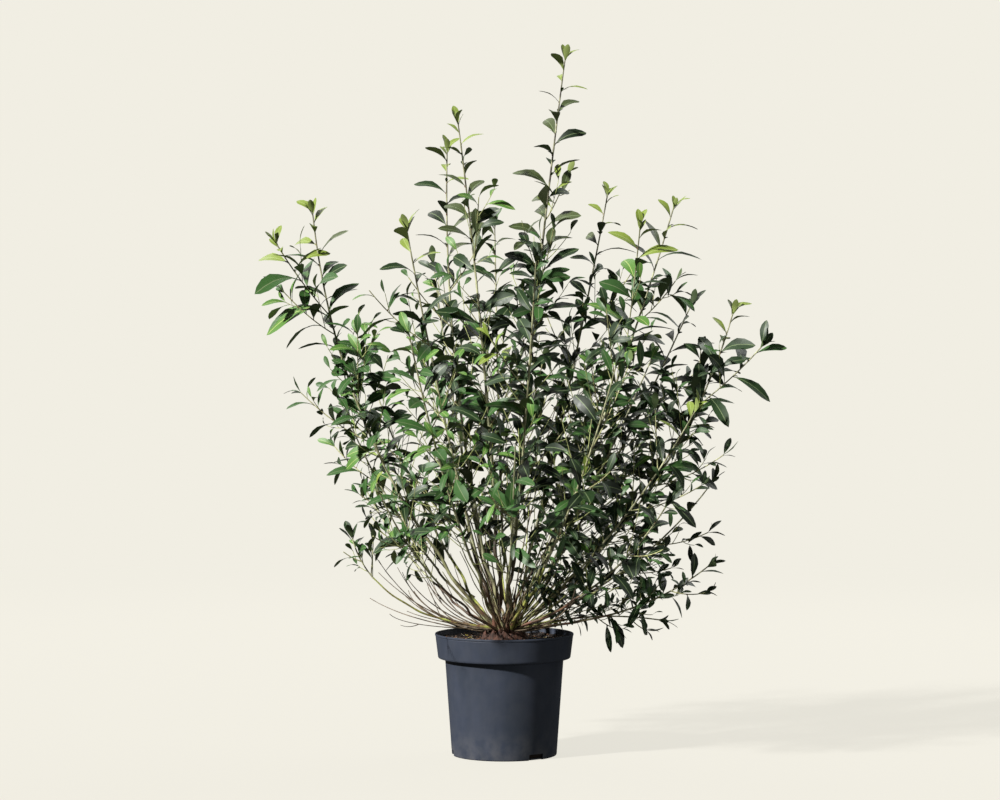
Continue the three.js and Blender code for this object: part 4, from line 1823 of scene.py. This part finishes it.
@dataclass
class RootCrown(SubAssembly):
    """The woody root crown: a low burl that swells under each stem's foot."""

    flare: float = 3.0
    depth: float = 4.0
    lift: float = 0.5
    middle: float = 2.0
    rings: int = 44
    sides: int = 180
    roundness: Range = (2.6, 0.7)
    collar_width: float = 1.5
    collar_fall: float = 1.1
    swell: Range = (0.09, 5.0)
    crease: Range = (0.16, 9.0)
    crease_depth: float = 2.5
    burrs: Range = (0.5, 2.6)
    raggedness: float = 0.1
    lobes: float = 2.2
    lobe_layer: Range = (0.4, 2.0)

    def height(self, x: float, y: float, reach: float, stems: Sequence[Stem]) -> float:
        """How high the wood stands above the mix at a place.

        Args:
            x: The place's x in millimetres.
            y: Its y.
            reach: How far the stems' feet reach from the middle.
            stems: The stems.

        Returns:
            The height in millimetres.
        """
        radius = math.hypot(x, y) / (reach + self.flare)
        power, root = self.roundness
        body = ROOT_CROWN_HEIGHT * 0.5 * max(0.0, 1 - radius**power) ** root
        nearest = min(
            math.hypot(x - stem.foot[0], y - stem.foot[1]) / (stem.radius * self.collar_width)
            for stem in stems
        )
        collar = ROOT_CROWN_HEIGHT * 0.5 * math.exp(-(nearest**2) / self.collar_fall)
        crease = abs(rough_height(x, y, *self.crease)) - self.crease_depth
        return body + collar + rough_height(x, y, *self.swell) + crease + rough_height(x, y, *self.burrs)

    def build(self) -> None:
        """Raises the burl from a disc and dresses it."""
        stems = self.shop.growth.stems
        reach = max(math.hypot(stem.foot[0], stem.foot[1]) + stem.radius for stem in stems)
        edge, base = reach + self.flare, MIX_HEIGHT + SEAT_GAP
        radii = np.linspace(edge, self.middle, self.rings)
        profile = [(0, base - self.depth), (edge, base - self.depth)]
        profile += [*((radius, base + self.lift) for radius in radii), (0, base + self.lift)]
        burl = turned("root_crown_burl", profile, self.sides)
        for vertex in burl.data.vertices:
            x, y, z = (value / MM for value in vertex.co)
            lobe = Vector((math.atan2(y, x) * self.lobes, *self.lobe_layer))
            ragged = 1 + self.raggedness * noise.noise(lobe)
            x, y = x * ragged, y * ragged
            if z > base:
                z = base + self.height(x / ragged, y / ragged, reach, stems)
            vertex.co = (x * MM, y * MM, z * MM)
        burl.data.shade_smooth()
        burl.data.materials.append(ROOT_BARK.made(self.shop))
        keep(burl, ["root_crown"])


@dataclass
class LimbRow:
    """Rows of points with radii, which the limb tree sweeps as one piece."""

    points: list[Array] = field(default_factory=list)
    radii: list[float] = field(default_factory=list)
    edges: list[tuple[int, int]] = field(default_factory=list)

    def add(self, row: Array, radii: Sequence[float]) -> None:
        """Adds one limb.

        Args:
            row: Its points, in millimetres.
            radii: Its radius at each.
        """
        first = len(self.points)
        self.points += list(row)
        self.radii += [float(radius) for radius in radii]
        self.edges += [(first + i, first + i + 1) for i in range(len(row) - 1)]

    def sweep(
        self,
        shop: Workshop,
        name: str,
        finish: Finish,
        sides: int,
        nodes: Sequence[str] = (),
        relief: Range = (0.0003, 240),
    ) -> None:
        """Sweeps the rows as one piece.

        Args:
            shop: What all share.
            name: The new piece's name.
            finish: Its bark.
            sides: How many faces go round a limb.
            nodes: The CAD nodes that it stands for.
            relief: How deep the bark's relief is, in metres, and how fine.
        """
        mesh = bpy.data.meshes.new(f"{name}_lines")
        mesh.from_pydata([tuple(point * MM) for point in self.points], self.edges, [])
        attribute(mesh, "radius", "FLOAT", "POINT", np.array(self.radii, np.float32) * MM)
        depth, scale = relief
        bark = finish.made(shop)
        values = {"Sides": sides, "Relief": depth, "Relief scale": scale, "Bark": bark}
        keep(shop.limbs.grown(name, mesh, values), nodes)


def knotted(count: int, every: float, spacing: float, swell: float) -> Array:
    """Radius factors at points a spacing apart along a limb that swells every so often."""
    along = np.arange(count) * spacing
    return 1 + swell * np.maximum(0, np.cos(2 * math.pi * along / every)) ** 6


@dataclass
class WoodyStems(SubAssembly):
    """The bare lower stems, from the root crown to where the leaves begin."""

    seed: int = 7001
    spacing: float = 5.0
    sides: int = 12
    root: float = 12.0
    lime_share: float = 0.2
    lime_and_olive_share: float = 0.65
    foot_swell: float = 0.3
    foot_swell_height: float = 14.0
    knots: Range = (27, 0.07)
    lap: float = 0.012
    relief: Range = (0.0009, 190)
    sways: Ranges = ((1.0, 5.0), (2.7, 1.8))
    sway_turns: Range = (5, 9)
    sway_starts: Range = (0, 6)
    sway_fade: float = 0.7

    def bark(self, chance: float) -> Bark:
        """The colour of bark that a chance from 0 to 1 gives."""
        young = Bark.LIME if chance < self.lime_share else Bark.OLIVE
        return young if chance < self.lime_and_olive_share else Bark.BROWN

    def build(self) -> None:
        """Sweeps the stems, each colour of bark as one piece."""
        rows = {bark: LimbRow() for bark in Bark}
        nodes = {bark: [] for bark in Bark}
        draws = Draws(self.seed)
        for stem in self.shop.growth.stems:
            bark = self.bark(draws())
            line = stem.line(0, stem.bare + self.lap)
            row = line.row(self.spacing)
            row = np.concatenate(([row[0] + unit(row[0] - row[1]) * self.root], row))
            along = np.linspace(0, 1, len(row)) * line.length
            radii = np.linspace(stem.radius, stem.bough_tip_radius(), len(row)) * SLENDERNESS
            swell = 1 + self.foot_swell * np.exp(-along / self.foot_swell_height)
            every, knot = self.knots
            radii *= swell * knotted(len(row), every, self.spacing, knot)
            rows[bark].add(self.wander(row, draws), radii)
            nodes[bark].append(f"stem_{stem.name}")
        for bark, finish in STEM_BARKS.items():
            rows[bark].sweep(self.shop, f"stems_{bark.value}", finish, self.sides, nodes[bark], self.relief)

    def wander(self, row: Array, draws: Draws) -> Array:
        """The row with a slow sway and a quicker one between its ends.

        Args:
            row: The points of a stem.
            draws: Random numbers.

        Returns:
            The points, moved aside.
        """
        share = np.linspace(0, 1, len(row))
        fade = np.sin(share * math.pi) ** self.sway_fade
        asides = [
            fade
            * sum(
                np.sin(share * draws.between(*self.sway_turns) * k + draws.between(*self.sway_starts)) * size
                for k, size in self.sways
            )
            for _ in range(2)
        ]
        return row + np.stack((*asides, np.zeros(len(row))), axis=1)


@dataclass(frozen=True)
class ShootLook:
    """How the shoots of a rank are swept: faces round, relief in metres, and how stout the tips are."""

    sides: int
    relief: float
    stoutness: float


@dataclass
class LeafyShoots(SubAssembly):
    """The shoots that carry the leaves: leading shoots, twigs, spurs and suckers."""

    spacing: float = 9.0
    knot: float = 0.16
    relief_scale: float = 240.0
    looks: tuple[tuple[Rank, ShootLook], ...] = (
        (Rank.LEADER, ShootLook(9, 0.0005, 1.0)),
        (Rank.TWIG, ShootLook(7, 0.0003, 0.75)),
        (Rank.SPUR, ShootLook(5, 0.0002, 0.7)),
        (Rank.SUCKER, ShootLook(6, 0.0002, 0.7)),
    )

    def build(self) -> None:
        """Sweeps each rank of shoots as one piece."""
        for rank, look in self.looks:
            rows = LimbRow()
            for shoot in self.shop.growth.shoots[rank]:
                row = shoot.line.row(self.spacing)
                ends = (shoot.foot_radius * SLENDERNESS, shoot.tip_radius * look.stoutness)
                knots = knotted(len(row), LEAFING[rank].spacing, self.spacing, self.knot)
                rows.add(row, np.linspace(*ends, len(row)) * knots)
            nodes = self.shop.masses if rank is Rank.LEADER else ()
            name, relief = f"shoots_{rank.value}", (look.relief, self.relief_scale)
            rows.sweep(self.shop, name, SHOOT_BARKS[rank], look.sides, nodes, relief)


@dataclass
class ThinShoots(SubAssembly):
    """Thin shoots that sway about their lines, in millimetres and radians."""

    count: int = 30
    sides: int = 6
    spacing: float = 8.0
    sway_turns: Range = (5, 9)
    sway_sizes: Range = (0.8, 3.2)
    foot_radii: Range = (1.1, 1.9)
    tip_radius: float = 0.6
    knots: Range = (22, 0.2)

    def add(self, rows: LimbRow, line: Bend, aside: Array, draws: Draws) -> Array:
        """Adds a shoot.

        Args:
            rows: The limbs that it joins.
            line: Its line.
            aside: The unit vector along which it sways.
            draws: Random numbers.

        Returns:
            Its points.
        """
        row, (every, knot) = line.row(self.spacing), self.knots
        swing = np.sin(np.linspace(0, draws.between(*self.sway_turns), len(row)))
        row = row + aside * (swing * draws.between(*self.sway_sizes))[:, None]
        radii = np.linspace(draws.between(*self.foot_radii), self.tip_radius, len(row))
        rows.add(row, radii * knotted(len(row), every, self.spacing, knot))
        return row


@dataclass
class BareTwiglets(ThinShoots):
    """Thin bare twiglets that fan out low from the root crown.

    Two in three fan out low, most of them to the left, and every other one bears a side twig.
    """

    seed: int = 409
    low_side: float = 2.9
    other_side: float = 0.1
    fan: Range = (-0.95, 0.95)
    low_lengths: Range = (190, 300)
    other_lengths: Range = (120, 210)
    rises: Range = (0.15, 0.75)
    foot_reaches: Range = (22, 40)
    foot_heights: Range = (13, 24)
    tip_share: float = 0.9
    bend_shares: Range = (0.5, 0.8)
    bend_heights: Range = (2, 20)
    fork_places: Range = (0.45, 0.85)
    fork_turns: Range = (-2.2, 2.2)
    fork_angle: float = 0.6
    fork_lengths: Range = (25, 80)
    fork_rise: float = 0.2
    fork_radii: Range = (0.9, 0.45)

    def build(self) -> None:
        """Sweeps the twiglets as one piece."""
        rows, draws = LimbRow(), Draws(self.seed)
        for i in range(self.count):
            low = i % 3 > 0
            side = self.low_side if i % 6 > 1 else self.other_side
            out = level(side + draws.between(*self.fan) if low else draws.turn())
            length = draws.between(*(self.low_lengths if low else self.other_lengths))
            rise = draws.between(*self.rises)
            foot = out * draws.between(*self.foot_reaches)
            foot = foot + UP * (MIX_HEIGHT + draws.between(*self.foot_heights))
            tip = foot + (out + UP * rise) * length * self.tip_share
            bend = foot + out * length * draws.between(*self.bend_shares)
            line = Bend(foot, bend + UP * draws.between(*self.bend_heights), tip)
            row = self.add(rows, line, np.cross(out, UP), draws)
            if i % 2:
                fork = self.fork(row, line, draws)
                rows.add(fork, np.linspace(*self.fork_radii, len(fork)))
        rows.sweep(self.shop, "bare_twiglets", BARE_BARK, self.sides)

    def fork(self, row: Array, line: Bend, draws: Draws) -> Array:
        """A side twig of a twiglet.

        Args:
            row: The twiglet's points.
            line: The line that they sway about.
            draws: Random numbers.

        Returns:
            The side twig's points.
        """
        share = draws.between(*self.fork_places)
        start, axis = row[round(share * (len(row) - 1))], line.heading(share)
        along = slanted(axis, draws.between(*self.fork_turns), self.fork_angle)
        reach = draws.between(*self.fork_lengths)
        tip = start + along * reach + UP * reach * self.fork_rise
        return Bend(start, start + along * reach / 2, tip).row(self.spacing)


@dataclass
class BasalShoots(ThinShoots):
    """Thin young shoots that rise between the stems, each alongside a tall one.

    They leave that stem low down, or the root crown beside its foot or any stem's foot.
    """

    seed: int = 953
    sides: int = 7
    spacing: float = 9.0
    sway_turns: Range = (7, 15)
    sway_sizes: Range = (1.0, 3.6)
    foot_radii: Range = (1.1, 2.3)
    tip_radius: float = 0.7
    knots: Range = (24, 0.18)
    least_height: float = 580.0
    barks: tuple[Bark, ...] = (Bark.OLIVE, Bark.BROWN, Bark.OLIVE, Bark.LIME, Bark.BROWN)
    own_foot_share: float = 0.45
    from_stem_share: float = 0.4
    from_stem_places: Range = (0.05, 0.16)
    foot_pull: Triple = (0.75, 0.75, 1.0)
    foot_asides: Range = (4, 10)
    foot_depth: float = 6.0
    lengths: Range = (0.28, 0.46)
    tip_asides: Range = (20, 70)
    bend_places: Range = (0.35, 0.65)
    bend_asides: Range = (-30, 30)
    bend_drops: Range = (0, 24)

    def build(self) -> None:
        """Sweeps the shoots, each colour of bark as one piece."""
        rows, draws, stems = {bark: LimbRow() for bark in Bark}, Draws(self.seed), self.shop.growth.stems
        high = [stem for stem in stems if stem.tip[2] > self.least_height]
        for i in range(self.count):
            stem = high[int(draws() * len(high))]
            aside = level(draws.turn())
            near = stem
            if draws() >= self.own_foot_share:
                near = stems[int(draws() * len(stems))]
            if draws() < self.from_stem_share:
                foot = stem.line().at(draws.between(*self.from_stem_places))
            else:
                foot = near.foot * np.array(self.foot_pull) + aside * draws.between(*self.foot_asides)
                foot = foot - UP * self.foot_depth
            tip = stem.line(0, draws.between(*self.lengths)).at(1.0)
            tip = tip + aside * draws.between(*self.tip_asides)
            bend = mix(foot, tip, draws.between(*self.bend_places))
            bend = bend + aside * draws.between(*self.bend_asides)
            bend = bend - UP * draws.between(*self.bend_drops)
            self.add(rows[self.barks[i % len(self.barks)]], Bend(foot, bend, tip), aside, draws)
        for bark, lines in rows.items():
            lines.sweep(self.shop, f"basal_shoots_{bark.value}", BASAL_BARKS[bark], self.sides)


@dataclass
class Foliage(SubAssembly):
    """The leaves, each tint as one piece, and the buds in their axils: forms of unit length."""

    half_widths: Ranges = (
        *((0.0, 0.011), (0.1, 0.016), (0.26, 0.074), (0.44, 0.127)),
        *((0.62, 0.158), (0.8, 0.137), (0.93, 0.074)),
    )
    fold: float = 0.16
    midrib: float = 0.009
    thickness: float = 0.007
    curl: float = 0.05
    tip_curl: float = 0.97
    waviness: float = 0.006
    waves: float = 23.0
    bud_rings: Ranges = ((0.12, 0.2), (0.45, 0.27), (0.8, 0.13))
    bud_root: float = 0.1
    bud_sides: int = 5

    def leaf_form(self) -> Object:
        """A closed leaf: a folded blade with a midrib, and a keeled underside.

        Its underside's faces start at other corners than the upper side's, so that both split
        along the same diagonals and neither cuts through the other when the leaf bends.

        Returns:
            The form, with how far up and aside each point lies, and each face's part of the leaf.
        """
        upper, under, rib = (part.value for part in LeafPart)
        points = []
        for y, half in self.half_widths:
            side = min(self.midrib, half * 0.5)
            crest = math.sin(y * math.pi) * self.curl
            edge = crest + half * self.fold + self.waviness * math.sin(y * self.waves)
            keel = crest - self.thickness
            section = ((-half, edge), (-side, crest), (side, crest), (half, edge), (0, keel))
            points += [(x, y, z) for x, z in section]
        tip = len(points)
        points.append((0.0, 1.0, math.sin(math.pi * self.tip_curl) * self.curl))
        faces, parts = [], []
        strips = ((0, 1, upper), (1, 2, rib), (2, 3, upper), (3, 4, under), (4, 0, under))
        for foot in range(0, tip, len(strips)):
            ahead = foot + len(strips)
            for left, right, part in strips:
                if ahead == tip:
                    faces.append((foot + left, foot + right, tip))
                elif part == under:
                    faces.append((foot + right, ahead + right, ahead + left, foot + left))
                else:
                    faces.append((foot + left, foot + right, ahead + right, ahead + left))
                parts.append(part)
        faces.append((4, 3, 2, 1, 0))
        parts.append(under)
        leaf = made_object("leaf_form", points, faces)
        mesh = leaf.data
        mesh.shade_smooth()
        attribute(mesh, "reach", "FLOAT", "POINT", np.array([y for _, y, _ in points], np.float32))
        attribute(mesh, "aside", "FLOAT", "POINT", np.array([x for x, _, _ in points], np.float32))
        attribute(mesh, "side", "INT", "FACE", np.array(parts, np.int32))
        kinds = {}
        for face, part in zip(mesh.polygons, parts):
            for key in face.edge_keys:
                kinds.setdefault(key, set()).add(part == under)
        sharp = [len(kinds[tuple(sorted(edge.vertices))]) > 1 for edge in mesh.edges]
        attribute(mesh, "sharp_edge", "BOOLEAN", "EDGE", sharp)
        return leaf

    def bud_form(self) -> Object:
        """A pointed bud.

        Returns:
            The form.
        """
        points = [(0.0, -self.bud_root, 0.0)]
        for y, radius in self.bud_rings:
            for k in range(self.bud_sides):
                angle = k * math.tau / self.bud_sides
                points.append((radius * math.cos(angle), y, radius * math.sin(angle)))
        points.append((0.0, 1.0, 0.0))
        faces = [(first, *reversed(rest)) for first, *rest in ring_faces(len(self.bud_rings), self.bud_sides)]
        bud = made_object("bud_form", points, faces)
        bud.data.shade_smooth()
        return bud

    def build(self) -> None:
        """Sets out the leaves and the buds."""
        spray, form = leaf_tree(), self.leaf_form()
        midrib, young_midrib = MIDRIB.made(self.shop), YOUNG_MIDRIB.made(self.shop)
        for tint, places in self.shop.growth.leaves.items():
            values = {
                "Leaf": form,
                LeafPart.UPPER_SIDE.name: UPPER_SIDES[tint].made(self.shop),
                LeafPart.UNDERSIDE.name: UNDERSIDES[tint].made(self.shop),
                LeafPart.MIDRIB.name: young_midrib if tint in (Tint.FRESH, Tint.YOUNG) else midrib,
            }
            log.info("%d leaves of the %s tint", len(places.spots), tint.value)
            name = f"leaves_{tint.value}"
            piece = spray.grown(name, places.points(f"{name}_places"), values)
            piece.shadow_terminator_geometry_offset = 0.0
            keep(piece, self.shop.masses)
        discard(form)
        bud = self.bud_form()
        values = {"Form": bud, "Finish": BUD_SCALE.made(self.shop)}
        keep(self.shop.scatter.grown("buds", self.shop.growth.buds.points("bud_places"), values))
        discard(bud)


@dataclass(frozen=True)
class Lamp:
    """A lamp that faces the crown: a square one, or a far one like the sun.

    Its size is a square lamp's side in metres, or how wide a far one looks in radians. Its power is
    in watts, or in watts a square metre for a far one.
    """

    name: str
    kind: str
    place: Triple
    size: float
    power: float
    colour: Triple
    target: Triple = (0.0, 0.0, 0.75)

    def hang(self) -> None:
        """Hangs the lamp in the scene."""
        lamp = bpy.data.lights.new(self.name, self.kind)
        lamp.energy, lamp.color = self.power, self.colour
        if self.kind == "SUN":
            lamp.angle = self.size
        else:
            lamp.shape, lamp.size = "SQUARE", self.size
        holder = bpy.data.objects.new(self.name, lamp)
        holder.location = self.place
        facing = Vector(self.target) - Vector(self.place)
        holder.rotation_euler = facing.to_track_quat("-Z", "Y").to_euler()
        bpy.context.scene.collection.objects.link(holder)


@dataclass
class Studio:
    """A pale floor without an end, soft lights, and a camera at the photograph's angle."""

    backdrop: Colour = linear(241, 238, 227)
    floor_colour: Colour = linear(70, 69, 66)
    floor_glow: float = 0.85
    floor_radius: float = 60.0
    floor_sides: int = 64
    fade: Range = (2.6, 5.0)
    world_colour: Colour = (0.98, 0.99, 1.0, 1.0)
    world_strength: float = 0.085
    lamps: tuple[Lamp, ...] = (
        Lamp("key", "SUN", (-3.6, -2.6, 3.7), math.radians(4), 10.0, (1.0, 0.98, 0.95)),
        Lamp("front", "AREA", (3.0, -3.4, 0.7), 2.0, 52, (1.0, 1.0, 0.94)),
        Lamp("back", "AREA", (-2.0, 3.4, 4.0), 3.6, 100, (1.0, 0.99, 0.94)),
        Lamp("back_right", "AREA", (3.6, 3.0, 3.6), 3.6, 140, (0.98, 0.99, 0.97)),
    )
    camera_place: Triple = (-0.0087, -6.2, 0.87)
    camera_pitch: float = 1.42
    lens: float = 110.8
    sensor_width: float = 36.0
    farthest: float = 60.0

    def build(self) -> None:
        """Sets up the floor, the lights and the camera."""
        bpy.context.scene.view_settings.view_transform = "Standard"
        self.floor()
        self.world()
        for lamp in self.lamps:
            lamp.hang()
        self.camera()

    def camera(self) -> None:
        """Sets up the camera."""
        camera = bpy.data.cameras.new("camera")
        camera.lens, camera.sensor_width, camera.sensor_fit = self.lens, self.sensor_width, "HORIZONTAL"
        camera.clip_end = self.farthest
        seat = bpy.data.objects.new("camera", camera)
        seat.location = self.camera_place
        seat.rotation_euler = (math.radians(90 - self.camera_pitch), 0, 0)
        bpy.context.scene.collection.objects.link(seat)
        bpy.context.scene.camera = seat

    def world(self) -> None:
        """Lights the room evenly from all round, behind a backdrop of the paper's colour."""
        world = bpy.data.worlds.new("studio_light")
        world.use_nodes = True
        writer = NodeWriter(world.node_tree)
        light = writer.found("BACKGROUND")
        writer.wire(light, {"Color": self.world_colour, "Strength": self.world_strength})
        paper = writer.out("ShaderNodeBackground", {"Color": self.backdrop, "Strength": 1.0})
        seen = writer.out("ShaderNodeLightPath", None, "Is Camera Ray")
        both = writer.out("ShaderNodeMixShader", {0: seen, 1: light.outputs[0], 2: paper})
        writer.wire(writer.found("OUTPUT_WORLD"), {"Surface": both})
        bpy.context.scene.world = world

    def floor(self) -> None:
        """Lays the floor, which fades into the backdrop's colour away from the pot."""
        turns = [k * math.tau / self.floor_sides for k in range(self.floor_sides)]
        radius = self.floor_radius
        points = [(math.cos(turn) * radius, math.sin(turn) * radius, 0.0) for turn in turns]
        disc = made_object("floor", points, [range(self.floor_sides)])
        material, writer, shader = new_material("studio_floor")
        material.cycles.emission_sampling = "NONE"
        place = writer.out("ShaderNodeTexCoord", None, "Object")
        away = writer.out("ShaderNodeVectorMath", {0: place}, "Value", operation="LENGTH")
        near = writer.ranged(away, self.fade, (1.0, 0.0), interpolation_type="SMOOTHSTEP")
        glow = writer.math("SUBTRACT", 1.0, writer.product(near, 1.0 - self.floor_glow))
        seen = writer.out("ShaderNodeLightPath", None, "Is Camera Ray")
        looks = {
            "Base Color": writer.blended(near, (0.0, 0.0, 0.0, 1.0), self.floor_colour),
            "Emission Strength": writer.product(seen, glow),
            "Emission Color": self.backdrop,
            "Roughness": 1.0,
            "Specular IOR Level": 0.0,
        }
        writer.wire(shader, looks)
        disc.data.materials.append(material)


def main() -> None:
    """Builds the plant, its pot and the studio in order."""
    logging.basicConfig(level=logging.INFO, format="%(message)s")
    growth = Growth()
    growth.run()
    for rank, shoots in growth.shoots.items():
        metres = sum(shoot.line.length for shoot in shoots) * MM
        log.info("%d shoots of rank %s, %.1f m", len(shoots), rank.value, metres)
    masses = [f"foliage_{stem.name}" for stem in growth.stems]
    shop = Workshop(grain_group(), film_group(), limb_tree(), scatter_tree(), growth, masses)
    parts = (NurseryPot, PottingMix, RootCrown, WoodyStems, LeafyShoots, BasalShoots, BareTwiglets, Foliage)
    for part in parts:
        part(shop).build()
    Studio().build()


if __name__ == "__main__":
    main()
